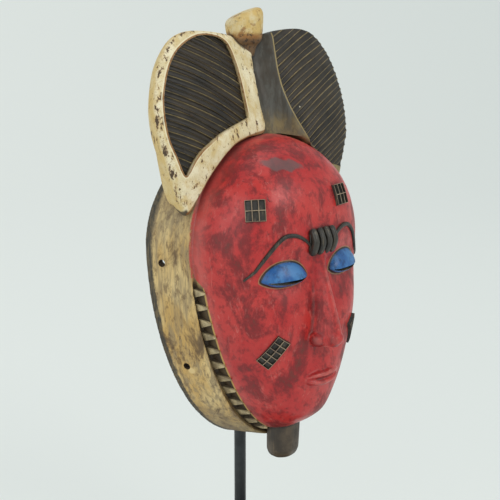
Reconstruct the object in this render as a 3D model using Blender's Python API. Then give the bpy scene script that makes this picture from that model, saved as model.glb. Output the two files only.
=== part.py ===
# A carved and painted Baule mask on its stand, as one faceted solid per piece.
# Metres, +Z up, the face looks along -Y. The mask is drawn upright in its own frame
# (x across, y back, z up from the lowest point of the side band's back edge), then
# leaned back and lifted onto the stand by place().

import math

import bmesh
import bpy
import numpy as np

# Overall sizes of the mask
BAND_WIDE = 0.220
BAND_TALL = 0.300
BAND_DEEP = 0.046
BAND_FLARE = 0.014
BAND_WALL = 0.009
BAND_MID_SHARE = 0.667
LEAN = math.radians(4.0)

# Smooth egg of the face
FACE_GAP = 0.004
FACE_LOW = 0.014
FACE_BULGE = 0.066
FACE_TAPER = 0.17
FACE_WALL = 0.010
GROOVE_DEEP = 0.006

# Coiffure
COIFFURE_WIDE = 0.242
COIFFURE_TALL = 0.094
COIFFURE_FRONT = 0.051
COIFFURE_LEAN = 0.19
LOBE_BULGE = 0.008
LOBE_ROLL = 0.0036
FIELD_SINK = 0.0022
GROOVE_CUT = 0.0015
NEAR_PITCH = 0.0056
FAR_PITCH = 0.0066
RIDGE_WIDE = 0.0010

# Knob on top and beard peg below
KNOB_WIDE = 0.039
KNOB_TALL = 0.0215
KNOB_FORWARD = 0.0285
BEARD_WIDE = 0.032
BEARD_END = -0.015
BEARD_FORWARD = 0.0535

# Features of the face, in shares of its height and width
BROW_SHARE = 0.667
NOSE_SHARE = 0.335
EYE_SHARE = 0.58
MOUTH_SHARE = 0.225
EYE_WIDE = 0.046
SLIT_TALL = 0.0034
NOSE_OUT = 0.024

# Toothed edge, scar blocks and cord holes
TOOTH_COUNT = 12
TOOTH_PITCH = 0.0150
TOOTH_LONG = 0.012
BLOCK_WIDE = 0.018
BLOCK_TALL = 0.019
BLOCK_SPOTS = ((-0.66, 0.790), (0.37, 0.802))
CHEEK_SPOT = (0.555, 0.340)
CHEEK_TURN = math.radians(50)
HOLE_WIDE = 0.007
HOLE_SPOTS = ((0.64, 0.017), (0.303, 0.021))

# Stand
ROD_WIDE = 0.012
BAR_WIDE = 0.009
BAR_LONG = 0.070
CEILING_SHARE = 0.90
PLATE_WIDE = 0.160
PLATE_LONG = 0.180
PLATE_THICK = 0.008
PLATE_CORNER = 0.006
MASK_LIFT = 0.136
ROD_BACK = 0.043
FIT = 0.0003
KEEP_SHARE = 0.79

# Worked out from the sizes above
FACE_HIGH = BAND_TALL
COIFFURE_TOP = FACE_HIGH + COIFFURE_TALL
KNOB_TOP = COIFFURE_TOP + KNOB_TALL
BAND_MID = BAND_TALL * BAND_MID_SHARE
BAND_HALF = BAND_WIDE / 2
FACE_HALF = BAND_HALF - BAND_FLARE - FACE_GAP
FACE_MID = FACE_LOW + (FACE_HIGH - FACE_LOW) * 0.64
FACE_TALL = FACE_HIGH - FACE_LOW
LOBE_HALF = COIFFURE_WIDE / 2
LOBE_MID = FACE_HIGH + (COIFFURE_TOP - FACE_HIGH) * 0.26
CEILING = FACE_HIGH * CEILING_SHARE
ROD_R = ROD_WIDE / 2
MASK_BACK = ROD_BACK - ROD_R - FIT - math.sin(LEAN) * (BAND_WALL + 0.004)
MASK_BASE = PLATE_THICK + MASK_LIFT
SEGMENTS = 46

for old in list(bpy.data.objects):
    bpy.data.objects.remove(old)


def new_collection(name):
    made = bpy.data.collections.new(name)
    bpy.context.scene.collection.children.link(made)
    return made


PARTS = new_collection("baule mask")
CUTTERS = new_collection("cutters")


def material(name, colour, rough, metal=0.0):
    made = bpy.data.materials.new(name)
    made.use_nodes = True
    node = made.node_tree.nodes["Principled BSDF"]
    node.inputs["Base Color"].default_value = (*colour, 1.0)
    node.inputs["Roughness"].default_value = rough
    node.inputs["Metallic"].default_value = metal
    return made


def place(point):
    """A point of the upright mask, leaned back and set on the stand."""
    x, y, z = point
    c, s = math.cos(LEAN), math.sin(LEAN)
    return (x, c * y + s * z + MASK_BACK, -s * y + c * z + MASK_BASE)


def mesh_object(name, points, faces, leaned=True):
    mesh = bpy.data.meshes.new(name)
    mesh.from_pydata([place(p) if leaned else tuple(p) for p in points], [], faces)
    work = bmesh.new()
    work.from_mesh(mesh)
    bmesh.ops.triangulate(work, faces=work.faces[:])
    bmesh.ops.recalc_face_normals(work, faces=work.faces)
    work.to_mesh(mesh)
    work.free()
    made = bpy.data.objects.new(name, mesh)
    PARTS.objects.link(made)
    return made


def as_cutter(item):
    PARTS.objects.unlink(item)
    CUTTERS.objects.link(item)
    item.hide_render = True
    item.display_type = "WIRE"
    return item


def boolean(target, tool, operation):
    step = target.modifiers.new(tool.name, "BOOLEAN")
    step.operation = operation
    step.solver = "EXACT"
    step.object = tool
    if tool.name not in CUTTERS.objects:
        as_cutter(tool)


def loft(rings, closed_start=True, closed_end=True):
    """Points and faces between rings of equal length, or a ring and one last point."""
    points, faces, starts = [], [], []
    for ring in rings:
        starts.append(len(points))
        points.extend(ring)
    for a, b in zip(range(len(rings) - 1), range(1, len(rings))):
        n, m = len(rings[a]), len(rings[b])
        for k in range(max(n, m)):
            j = (k + 1) % max(n, m)
            if m == 1:
                faces.append((starts[a] + k, starts[a] + j, starts[b]))
            elif n == 1:
                faces.append((starts[a], starts[b] + j, starts[b] + k))
            else:
                faces.append((starts[a] + k, starts[a] + j, starts[b] + j, starts[b] + k))
    if closed_start and len(rings[0]) > 1:
        faces.append(tuple(range(len(rings[0])))[::-1])
    if closed_end and len(rings[-1]) > 1:
        faces.append(tuple(starts[-1] + k for k in range(len(rings[-1]))))
    return points, faces


def joined(pieces):
    points, faces = [], []
    for more, sides in pieces:
        start = len(points)
        points.extend(more)
        faces.extend(tuple(start + k for k in side) for side in sides)
    return points, faces


def egg(half, mid, low, high, taper=0.0, count=SEGMENTS):
    """Closed outline, narrower towards the lower end when it tapers."""
    out = []
    for k in range(count):
        t = 2 * math.pi * (k + 0.5) / count
        c = math.cos(t)
        x = half * math.sin(t) * (1 - taper * max(0.0, c))
        out.append((x, mid - c * (low if c > 0 else high)))
    return out


def smooth_line(points, steps, closed):
    """A Catmull-Rom curve through the points."""
    pts = [np.array(p, float) for p in points]
    n = len(pts)
    out = []
    for i in range(n if closed else n - 1):
        p = []
        for k in (-1, 0, 1, 2):
            p.append(pts[(i + k) % n] if closed else pts[min(max(i + k, 0), n - 1)])
        for k in range(steps):
            t = k / steps
            a = 2 * p[1] + (p[2] - p[0]) * t
            b = (2 * p[0] - 5 * p[1] + 4 * p[2] - p[3]) * t * t
            c = (3 * p[1] - p[0] - 3 * p[2] + p[3]) * t ** 3
            out.append(tuple(0.5 * (a + b + c)))
    if not closed:
        out.append(tuple(pts[-1]))
    return out


def bump(x, z, at_x, at_z, wide, tall):
    return math.exp(-((x - at_x) / wide) ** 2 - ((z - at_z) / tall) ** 2)


def face_swell(x, z):
    """0 at the edge of the face, 1 at its middle: steep at the sides, broad in front."""
    low = z < FACE_MID
    drop = (z - FACE_MID) / (FACE_MID - FACE_LOW if low else FACE_HIGH - FACE_MID)
    v = min(abs(drop), 0.99999)
    half = FACE_HALF * (1 - FACE_TAPER * v * low) * math.sqrt(1 - v * v)
    u = min(abs(x) / half, 1.0)
    along = (1 - v ** (4.5 if low else 3.0)) ** 0.6
    return along * (1 - u ** 3.2) ** 0.55


def face_height(share_up):
    return FACE_LOW + FACE_TALL * share_up


BROW_Z = face_height(BROW_SHARE)
NOSE_Z = face_height(NOSE_SHARE)
EYE_Z = face_height(EYE_SHARE)
MOUTH_Z = face_height(MOUTH_SHARE)
EYE_X = FACE_HALF * 0.41


def face_depth(x, z):
    """How far forward the smooth face stands at x, z."""
    swell = face_swell(x, z)
    depth = BAND_DEEP + FACE_BULGE * swell
    w, h = FACE_HALF, FACE_TALL
    soft = 0.003 * bump(x, z, 0, face_height(0.80), w * 0.70, h * 0.14)
    soft += 0.004 * bump(x, z, 0, BROW_Z, w * 0.50, h * 0.05)
    for side in (-1, 1):
        soft -= 0.007 * bump(x, z, side * EYE_X, EYE_Z, w * 0.27, h * 0.075)
        soft += 0.003 * bump(x, z, side * w * 0.48, face_height(0.42), w * 0.3, h * 0.1)
    soft += 0.006 * bump(x, z, 0, MOUTH_Z, w * 0.34, h * 0.08)
    soft += 0.009 * bump(x, z, 0, face_height(0.09), w * 0.34, h * 0.07)
    return depth + soft * min(1.0, swell * 1.6)


def on_face(x, z, out=0.0):
    """Frame on the face: the point, and the directions across, up and outward."""
    d = 0.0015
    dx = (face_depth(x + d, z) - face_depth(x - d, z)) / (2 * d)
    dz = (face_depth(x, z + d) - face_depth(x, z - d)) / (2 * d)
    normal = np.array([-dx, -1.0, -dz]) / math.sqrt(1 + dx * dx + dz * dz)
    across = np.cross(normal, (0.0, 0.0, 1.0))
    across = -across / np.linalg.norm(across)
    upward = np.cross(normal, across)
    if upward[2] < 0:
        upward = -upward
    if across[0] < 0:
        across = -across
    point = np.array([x, -face_depth(x, z), z]) + normal * out
    return point, across, upward, normal


def face_body():
    """Side band, groove for the teeth and egg of the face in one closed skin."""
    back = egg(BAND_HALF, BAND_MID, BAND_MID, BAND_TALL - BAND_MID)
    front_low = BAND_MID - FACE_LOW * 0.5
    front = egg(BAND_HALF - BAND_FLARE, BAND_MID, front_low, BAND_TALL - BAND_MID, FACE_TAPER * 0.2)
    face = egg(FACE_HALF, FACE_MID, FACE_MID - FACE_LOW, FACE_HIGH - FACE_MID, FACE_TAPER)
    inner = [(a[0] * 0.45 + b[0] * 0.55, a[1] * 0.45 + b[1] * 0.55) for a, b in zip(front, face)]
    rings = [[(x, 0.0, z) for x, z in back]]
    rings.append([(x, -BAND_DEEP, z) for x, z in front])
    rings.append([(x, -BAND_DEEP + GROOVE_DEEP, z) for x, z in inner])
    rings.append([(x, -BAND_DEEP + GROOVE_DEEP * 0.8, z) for x, z in face])
    for s in (0.9985, 0.985, 0.96, 0.92, 0.86, 0.78, 0.68, 0.56, 0.42, 0.27, 0.13):
        ring = []
        for x, z in face:
            px, pz = s * x, FACE_MID + s * (z - FACE_MID)
            ring.append((px, -face_depth(px, pz), pz))
        rings.append(ring)
    rings.append([(0.0, -face_depth(0.0, FACE_MID), FACE_MID)])
    return loft(rings)


def hollow():
    """What is carved out behind the face, with a flat ceiling under the coiffure."""
    low = BAND_MID - BAND_WALL
    back = egg(BAND_HALF - BAND_WALL, BAND_MID, low, BAND_TALL - BAND_MID - BAND_WALL, 0.0, 32)
    face = egg(FACE_HALF, FACE_MID, FACE_MID - FACE_LOW, FACE_HIGH - FACE_MID, FACE_TAPER, 32)
    shrink = 1 - (BAND_WALL + 0.002) / FACE_HALF
    rings = [[(x * 1.02, 0.008, BAND_MID + (z - BAND_MID) * 1.02) for x, z in back]]
    for s in (1.0, 0.92, 0.77, 0.56, 0.29):
        ring = []
        for x, z in face:
            px, pz = s * x, FACE_MID + s * (z - FACE_MID)
            depth = face_depth(px, pz) - FACE_WALL - 0.001
            ring.append((px * shrink, -depth, FACE_MID + (pz - FACE_MID) * shrink))
        rings.append(ring)
    rings.append([(0.0, -face_depth(0.0, FACE_MID) + FACE_WALL, FACE_MID)])
    item = mesh_object("hollow", *loft(rings), leaned=False)
    work = bmesh.new()
    work.from_mesh(item.data)
    geom = work.verts[:] + work.edges[:] + work.faces[:]
    cut = bmesh.ops.bisect_plane(
        work, geom=geom, plane_co=(0, 0, CEILING), plane_no=(0, 0, 1), clear_outer=True
    )
    edges = [e for e in cut["geom_cut"] if isinstance(e, bmesh.types.BMEdge)]
    bmesh.ops.contextual_create(work, geom=edges)
    bmesh.ops.recalc_face_normals(work, faces=work.faces)
    for v in work.verts:
        v.co = place(v.co)
    work.to_mesh(item.data)
    work.free()
    return item


def lobe_front(x, z):
    """How far forward a lobe of the coiffure stands."""
    lean = COIFFURE_LEAN * max(0.0, z - FACE_HIGH * 0.97)
    across = (abs(x) - LOBE_HALF * 0.50) / (LOBE_HALF * 0.56)
    along = (z - LOBE_MID) / ((COIFFURE_TOP - FACE_HIGH) * 0.9)
    roll = LOBE_ROLL * max(0.0, (abs(x) / LOBE_HALF - 0.6) / 0.4) ** 2
    return COIFFURE_FRONT - lean - roll + LOBE_BULGE * max(0.0, 1 - across ** 2 - along ** 2)


def lobe_point(across, up):
    """Front-view point of a lobe: share of its half width, share of its height."""
    return (LOBE_HALF * across, FACE_HIGH + (COIFFURE_TOP - FACE_HIGH) * up)


LOBE_LINE = ((-0.014, 0.88), (0.19, 0.97), (0.46, 1.012), (0.64, 0.995), (0.77, 0.905), (0.90, 0.68),
             (0.975, 0.36), (0.985, 0.10), (0.955, -0.13), (0.905, -0.35), (0.845, -0.56), (0.795, -0.675),
             (0.715, -0.56), (0.59, -0.33), (0.395, -0.105), (0.20, -0.02), (-0.014, 0.015), (-0.014, 0.30),
             (-0.014, 0.60))
LOW_SIDE = {9: 0.25, 10: 0.6, 11: 1.0, 12: 1.0, 13: 1.0, 14: 1.0, 15: 1.0, 16: 1.0}
PARTING_HOLD = 0.3
FIELD_LINE = ((0.255, 0.90), (0.335, 0.955), (0.47, 0.972), (0.585, 0.94), (0.70, 0.865), (0.79, 0.755),
              (0.86, 0.60), (0.912, 0.41), (0.928, 0.22), (0.918, 0.03), (0.868, -0.165), (0.815, -0.30),
              (0.70, -0.10), (0.52, 0.038), (0.35, 0.110), (0.188, 0.175), (0.188, 0.36),
              (0.194, 0.594), (0.215, 0.78))
CREST_LINE = ((0.27, 1.10), (0.228, 0.80), (0.214, 0.60), (0.225, 0.42), (0.27, 0.23), (0.35, 0.03),
              (0.45, -0.16), (0.56, -0.34))


def shrunk(x, z, low, scale):
    """A point of a lobe's outline at a smaller ring: the parting side moves less, and
    the lower side of the rings at the back reaches down into the side band."""
    cx, cz = lobe_point(0.50, 0.32)
    px = cx + (x - cx) * (scale if x > cx else 1 - (1 - scale) * PARTING_HOLD)
    pz = cz + (z - cz) * scale
    band_top = BAND_MID + (BAND_TALL - BAND_MID) * math.sqrt(max(0.0, 1 - (px / BAND_HALF) ** 2))
    hold = min(max(low, 0.0), 1.0) * min(max((0.985 - scale) / 0.06, 0.0), 1.0)
    return px, pz + hold * min(0.0, band_top - 0.003 - pz)


def lobe(side):
    """One lobe; the far one is a little lower at the parting, where the two grow together."""
    far = side > 0
    shares = list(LOBE_LINE)
    if far:
        shares[0] = (-0.032, 0.855)
        shares[-3:] = [(-0.032, 0.0), (-0.032, 0.30), (-0.032, 0.60)]
    lows = [LOW_SIDE.get(k, 0.0) for k in range(len(shares))]
    line = smooth_line([(*lobe_point(*p), low) for p, low in zip(shares, lows)], 3, True)
    centre = lobe_point(0.50, 0.32)

    def front(x, z):
        low = 0.0045 * math.exp(-(x / 0.014) ** 2) if far else 0.0
        return lobe_front(x, z) - low

    rings = []
    for scale, forward in ((0.54, 0.0015), (0.68, 0.0090), (0.87, 0.0225), (0.965, 0.0337), (1.0, 0.0440)):
        ring = []
        for x, z, low in line:
            px, pz = shrunk(x, z, low, scale)
            share = forward / COIFFURE_FRONT
            depth = forward + (0.0009 if far else 0.0)
            if forward > 0.005:
                depth = share * front(px, pz)
            ring.append((side * px, -depth, pz))
        rings.append(ring)
    for scale, drop in ((0.975, 0.0020), (0.930, 0.0005), (0.62, 0.0)):
        ring = []
        for x, z, _ in line:
            px = centre[0] + (x - centre[0]) * scale
            pz = centre[1] + (z - centre[1]) * scale
            ring.append((side * px, -front(px, pz) + drop, pz))
        rings.append(ring)
    rings.append([(side * centre[0], -front(*centre), centre[1])])
    return loft(rings)


def pleated_slab(side, pitch):
    """Everything in front of the carved strands of one lobe."""
    swing_x = LOBE_HALF * 1.84
    swing_z = LOBE_MID - (COIFFURE_TOP - FACE_HIGH) * 3.15
    rows, columns = [], 5
    near = 0.225
    count = int((0.430 - near) / pitch) * 2
    for r in range(count + 1):
        radius = near + r * pitch / 2
        dip = GROOVE_CUT if r % 2 else 0.0
        row = []
        for c in range(columns + 1):
            t = math.radians(6 + 46 * c / columns)
            x = swing_x - radius * math.sin(t)
            z = swing_z + radius * math.cos(t)
            row.append((side * x, -lobe_front(x, z) + FIELD_SINK + dip, z))
        rows.append(row)
    points = [p for row in rows for p in row]
    wide = columns + 1
    faces = []
    for r in range(count):
        for c in range(columns):
            a = r * wide + c
            faces.append((a, a + 1, a + wide + 1, a + wide))
    rim = [c for c in range(wide)]
    rim += [r * wide + columns for r in range(1, count + 1)]
    rim += [count * wide + c for c in range(columns - 1, -1, -1)]
    rim += [r * wide for r in range(count - 1, 0, -1)]
    base = len(points)
    for k in rim:
        x, _, z = points[k]
        points.append((x, -0.09, z))
    n = len(rim)
    for k in range(n):
        j = (k + 1) % n
        faces.append((rim[k], rim[j], base + j, base + k))
    faces.append(tuple(base + k for k in range(n)))
    return points, faces


def prism(line, side, near, far):
    ring = [[(side * x, -depth, z) for x, z in line] for depth in (near, far)]
    return loft(ring)


def strand_cutter(name, side, line, pitch):
    slab = mesh_object(name + "_slab", *pleated_slab(side, pitch))
    cutter = mesh_object(name, *prism(line, side, 0.012, 0.085))
    boolean(cutter, slab, "INTERSECT")
    return cutter


def far_field():
    """Outline of the grooved side of the far lobe, from its crest to beyond its edge."""
    crest = smooth_line([lobe_point(*p) for p in CREST_LINE], 3, False)
    moved = [(x + RIDGE_WIDE, z) for x, z in crest]
    return moved + [lobe_point(1.3, -0.60), lobe_point(1.3, 1.2)]


def valley():
    """Plain hollow strip of the far lobe between the parting and its crest."""
    crest = smooth_line([lobe_point(*p) for p in CREST_LINE], 3, False)
    rings = []
    for x, z in crest:
        low = 0.0008
        foot = lobe_front(low, z) - 0.005
        top = lobe_front(x, z)
        ring = []
        for k in range(7):
            t = k / 6
            sag = 0.0055 * math.sin(math.pi * min(1.0, t * 1.1)) if t < 0.9 else 0.0
            ring.append((low + (x - low) * t, -(foot + (top - foot) * t - sag), z))
        ring += [(x, -0.09, z), (low, -0.09, z)]
        rings.append(ring)
    return loft(rings)


def knob():
    rings = []
    levels = ((-0.014, 0.45, 0.35), (-0.005, 0.66, 0.55), (-0.002, 0.82, 0.78), (0.002, 0.88, 0.87),
              (0.011, 0.97, 0.96), (0.018, 1.0, 1.0), (0.0240, 0.94, 0.94), (0.0272, 0.74, 0.74),
              (0.0285, 0.36, 0.36))
    foot = COIFFURE_TOP - 0.008
    tall = (KNOB_TOP - foot) / 0.0285
    for up, wide, deep in levels:
        ring = []
        for k in range(20):
            t = 2 * math.pi * (k + 0.5) / 20
            x = KNOB_WIDE / 2 * wide * math.cos(t)
            y = KNOB_WIDE / 2 * 0.80 * deep * math.sin(t)
            slant = (0.30 * x - 0.12 * y) * max(0.0, up) / 0.0285
            z = foot + up * tall + slant - (0.0035 * max(0.0, up) / 0.0285)
            ring.append((x, y - KNOB_FORWARD, z))
        rings.append(ring)
    return loft(rings)


def beard():
    rings = []
    chin = face_height(0.10)
    levels = ((0.0, 0.45), (0.0025, 0.72), (0.007, 0.92), (0.014, 1.0), (chin - BEARD_END, 1.04))
    for up, scale in levels:
        ring = []
        for k in range(16):
            t = 2 * math.pi * (k + 0.5) / 16
            x = BEARD_WIDE / 2 * scale * math.cos(t)
            y = BEARD_WIDE / 2 * scale * 0.95 * math.sin(t)
            ring.append((x, y - BEARD_FORWARD - up * 0.1, BEARD_END + up))
        rings.append(ring)
    return loft(rings)


def ellipsoid(centre, radii, segments=24, rings=12):
    out = [[(centre[0], centre[1], centre[2] - radii[2])]]
    for r in range(1, rings):
        a = math.pi * r / rings
        ring = []
        for k in range(segments):
            t = 2 * math.pi * (k + 0.5) / segments
            ring.append((centre[0] + radii[0] * math.sin(a) * math.cos(t),
                         centre[1] + radii[1] * math.sin(a) * math.sin(t),
                         centre[2] - radii[2] * math.cos(a)))
        out.append(ring)
    out.append([(centre[0], centre[1], centre[2] + radii[2])])
    return loft(out)


def nose():
    """Slim wedge from between the brows to the base of the nose."""
    tall = BROW_Z - NOSE_Z
    levels = ((1.02, 0.15, 0.02), (0.90, 0.17, 0.22), (0.70, 0.20, 0.44), (0.48, 0.24, 0.66),
              (0.28, 0.30, 0.88), (0.15, 0.40, 1.0), (0.06, 0.46, 0.96), (0.0, 0.40, 0.74))
    shape = ((-1.0, -0.012), (-0.95, 0.10), (-0.72, 0.48), (-0.40, 0.84), (0.0, 1.0),
             (0.40, 0.84), (0.72, 0.48), (0.95, 0.10), (1.0, -0.012))
    rings = []
    for up, wide, out in levels:
        z = NOSE_Z + tall * up
        half = FACE_HALF * 0.40 * wide
        ring = []
        for across, rise in shape:
            x = half * across
            base = face_depth(x, z)
            lift = rise if rise < 0 else rise * NOSE_OUT * out
            ring.append((x, -(base + lift), z))
        rings.append(ring)
    return loft(rings)


def wing(side):
    x = side * FACE_HALF * 0.13
    z = NOSE_Z + 0.0085
    depth = face_depth(x, z) + 0.003
    return ellipsoid((x, -depth, z), (0.0075, 0.009, 0.0075), 12, 6)


def lid(side):
    depth = face_depth(side * EYE_X, EYE_Z) - 0.0035
    at = (side * EYE_X, -depth, EYE_Z + 0.003)
    return ellipsoid(at, (EYE_WIDE / 2, 0.014, EYE_WIDE * 0.34), 18, 9)


def lower_lid(side):
    depth = face_depth(side * EYE_X, EYE_Z - 0.01) - 0.002
    at = (side * EYE_X, -depth, EYE_Z - 0.0095)
    return ellipsoid(at, (EYE_WIDE * 0.47, 0.0095, EYE_WIDE * 0.16), 16, 7)


def eye_slit(side):
    """Thin curved opening between the lids, right through the wall."""
    rings = []
    for k in range(9):
        t = -1 + 2 * k / 8
        x = side * EYE_X + t * EYE_WIDE * 0.40
        mid = EYE_Z - 0.0065 + 0.0025 * t * t
        half = SLIT_TALL / 2 * (1 - 0.75 * t * t)
        ring = [(x, -0.14, mid - half), (x, -0.14, mid + half), (x, -0.03, mid + half),
                (x, -0.03, mid - half)]
        rings.append(ring)
    return loft(rings)


def lip(level, wide, tall, out):
    depth = face_depth(0, MOUTH_Z) - 0.001
    return ellipsoid((0, -depth, MOUTH_Z + level), (wide, out, tall), 16, 7)


def tube(path, radii, sides=6):
    """Closed round bar along a path of (point, outward) pairs."""
    rings = []
    n = len(path)
    for i, (point, outward) in enumerate(path):
        before = path[max(i - 1, 0)][0]
        after = path[min(i + 1, n - 1)][0]
        along = after - before
        along = along / np.linalg.norm(along)
        level = np.cross(outward, along)
        level = level / np.linalg.norm(level)
        rise = np.cross(along, level)
        ring = []
        for k in range(sides):
            t = 2 * math.pi * k / sides
            spot = point + radii[i] * (level * math.cos(t) + rise * math.sin(t))
            ring.append(tuple(spot))
        rings.append(ring)
    return loft(rings)


def brow(side):
    """Raised arched line from the brow block out over the eye."""
    path, radii = [], []
    for k in range(9):
        t = k / 8
        x = FACE_HALF * (0.13 + 0.66 * t)
        z = BROW_Z - 0.004 + FACE_TALL * 0.052 * math.sin(math.pi * min(1.0, t * 1.15) ** 0.85)
        z -= FACE_TALL * 0.075 * max(0.0, t - 0.45) ** 1.6 / 0.55 ** 1.6
        point, _, _, normal = on_face(side * x, z, 0.0004)
        path.append((point, normal))
        radii.append(0.0024 * (1 - 0.45 * abs(2 * t - 1) ** 2.5))
    return tube(path, radii)


def brow_rib(number):
    """One of the four bent ribs of the block between the brows."""
    x = (number - 1.5) * 0.0078
    path, radii = [], []
    for k in range(5):
        t = -1 + k / 2
        z = BROW_Z + 0.002 + t * 0.0105
        point, _, _, normal = on_face(x, z, 0.0022 + 0.0025 * (1 - abs(t)))
        path.append((point, normal))
        radii.append(0.0032 if abs(t) < 1 else 0.0024)
    return tube(path, radii)


def brow_pad():
    """Pad below the ribs, so that they stand as one block."""
    rings = []
    for out in (-0.006, 0.0016):
        ring = []
        for a, b in ((-1, -1), (0, -1), (1, -1), (1, 0), (1, 1), (0, 1), (-1, 1), (-1, 0)):
            point, _, _, _ = on_face(a * 0.0150, BROW_Z + 0.002 + b * 0.0105, out)
            ring.append(tuple(point))
        rings.append(ring)
    ends = [[tuple(on_face(0.0, BROW_Z + 0.002, out)[0])] for out in (-0.006, 0.0016)]
    return loft([ends[0]] + rings + [ends[1]])


def waffle(x, z, turn, wide, tall, columns, rows):
    """Scar block: a slab with rows of square cells parted by narrow grooves."""
    centre, across, upward, normal = on_face(x, z)
    c, s = math.cos(turn), math.sin(turn)
    across, upward = across * c + upward * s, upward * c - across * s
    high, low, sunk, gap = 0.0030, 0.0014, -0.005, 0.0018

    def stops(size, count):
        """Places along one side, each with 1 where a groove is deepest."""
        out = [(-size / 2, 0)]
        for k in range(1, count):
            mid = -size / 2 + size * k / count
            out += [(mid - gap / 2, 0), (mid, 1), (mid + gap / 2, 0)]
        return out + [(size / 2, 0)]

    us, vs = stops(wide, columns), stops(tall, rows)

    def spot(u, v, out):
        bend = on_face_drop(x, z, across * u + upward * v)
        return tuple(centre + across * u + upward * v + normal * (out - bend))

    points, faces = [], []
    nu, nv = len(us), len(vs)
    for u, deep_u in us:
        for v, deep_v in vs:
            points.append(spot(u, v, low if deep_u or deep_v else high))
    for i in range(nu - 1):
        for j in range(nv - 1):
            a = i * nv + j
            faces.append((a, a + nv, a + nv + 1, a + 1))
    rim = [i * nv for i in range(nu)]
    rim += [(nu - 1) * nv + j for j in range(1, nv)]
    rim += [i * nv + nv - 1 for i in range(nu - 2, -1, -1)]
    rim += [j for j in range(nv - 2, 0, -1)]
    base = len(points)
    for k in rim:
        points.append(tuple(centre + across * us[k // nv][0] + upward * vs[k % nv][0] + normal * sunk))
    n = len(rim)
    for k in range(n):
        m = (k + 1) % n
        faces.append((rim[k], rim[m], base + m, base + k))
    faces.append(tuple(base + k for k in range(n)))
    return points, faces


def on_face_drop(x, z, step):
    """How far the face falls away from its tangent plane after a step along it."""
    px, pz = x + step[0], z + step[2]
    normal = on_face(x, z)[3]
    offset = np.array([step[0], -face_depth(px, pz) + face_depth(x, z), step[2]])
    return -float(np.dot(offset, normal)) * 0.9


def teeth(side):
    """Row of small teeth along the lower edge of the face, pointing forward."""
    line = egg(FACE_HALF, FACE_MID, FACE_MID - FACE_LOW, FACE_HIGH - FACE_MID, FACE_TAPER, 720)
    half = [p for p in line[:361]]
    travel = [0.0]
    for a, b in zip(half, half[1:]):
        travel.append(travel[-1] + math.dist(a, b))
    pieces = []
    for n in range(TOOTH_COUNT):
        want = TOOTH_PITCH * (n + 1.4)
        k = min(range(len(travel)), key=lambda i: abs(travel[i] - want))
        k = min(max(k, 2), 358)
        p = np.array(half[k])
        along = np.array(half[k + 2]) - np.array(half[k - 2])
        along = along / np.linalg.norm(along)
        outward = np.array([along[1], -along[0]])
        w = TOOTH_PITCH * 0.44
        foot = BAND_DEEP - GROOVE_DEEP - 0.002
        tip = BAND_DEEP + TOOTH_LONG - GROOVE_DEEP * 0.5
        corners = []
        for a, o, forward in ((-w, 0.0036, foot), (w, 0.0036, foot), (0.0, -0.008, foot),
                              (0.0, -0.0010, tip)):
            q = p + along * a + outward * o
            corners.append((side * q[0], -forward, q[1]))
        pieces.append((corners, [(0, 1, 2), (0, 3, 1), (1, 3, 2), (2, 3, 0)]))
    return joined(pieces)


def cord_holes():
    """Two holes a side through the band, drilled straight across."""
    pieces = []
    for share, back in HOLE_SPOTS:
        z = BAND_TALL * share
        mid = BAND_MID
        at = BAND_HALF * math.sqrt(max(0.05, 1 - ((z - mid) / mid) ** 2))
        for side in (-1, 1):
            rings = []
            for x in (at - 0.040, at + 0.030):
                ring = []
                for k in range(12):
                    t = 2 * math.pi * k / 12
                    ring.append((side * x, -back + HOLE_WIDE / 2 * math.cos(t),
                                 z + HOLE_WIDE / 2 * math.sin(t)))
                rings.append(ring)
            pieces.append(loft(rings))
    return joined(pieces)


def rounded_box(name, wide, long, low, high, corner):
    line = []
    for qx, qy, start in ((1, 1, 0), (-1, 1, 90), (-1, -1, 180), (1, -1, 270)):
        for k in range(5):
            t = math.radians(start + 90 * k / 4)
            line.append((qx * (wide / 2 - corner) + corner * math.cos(t),
                         qy * (long / 2 - corner) + corner * math.sin(t)))
    edge = 0.0008
    rings = []
    for z, inset in ((low, 0.0), (high - edge, 0.0), (high, edge)):
        share_x = 1 - 2 * inset / wide
        share_y = 1 - 2 * inset / long
        rings.append([(x * share_x, y * share_y, z) for x, y in line])
    return mesh_object(name, *loft(rings), leaned=False)


def round_bar(start, end, radius, across, sides=24):
    """Straight round bar, its ends a little eased."""
    start, end = np.array(start, float), np.array(end, float)
    along = (end - start) / np.linalg.norm(end - start)
    a = np.array(across, float)
    b = np.cross(along, a)
    ease = radius * 0.15
    stops = ((start, radius - ease), (start + along * ease, radius), (end - along * ease, radius),
             (end, radius - ease))
    rings = []
    for centre, r in stops:
        ring = []
        for k in range(sides):
            t = 2 * math.pi * k / sides
            ring.append(tuple(centre + r * (a * math.cos(t) + b * math.sin(t))))
        rings.append(ring)
    return loft(rings)


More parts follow.
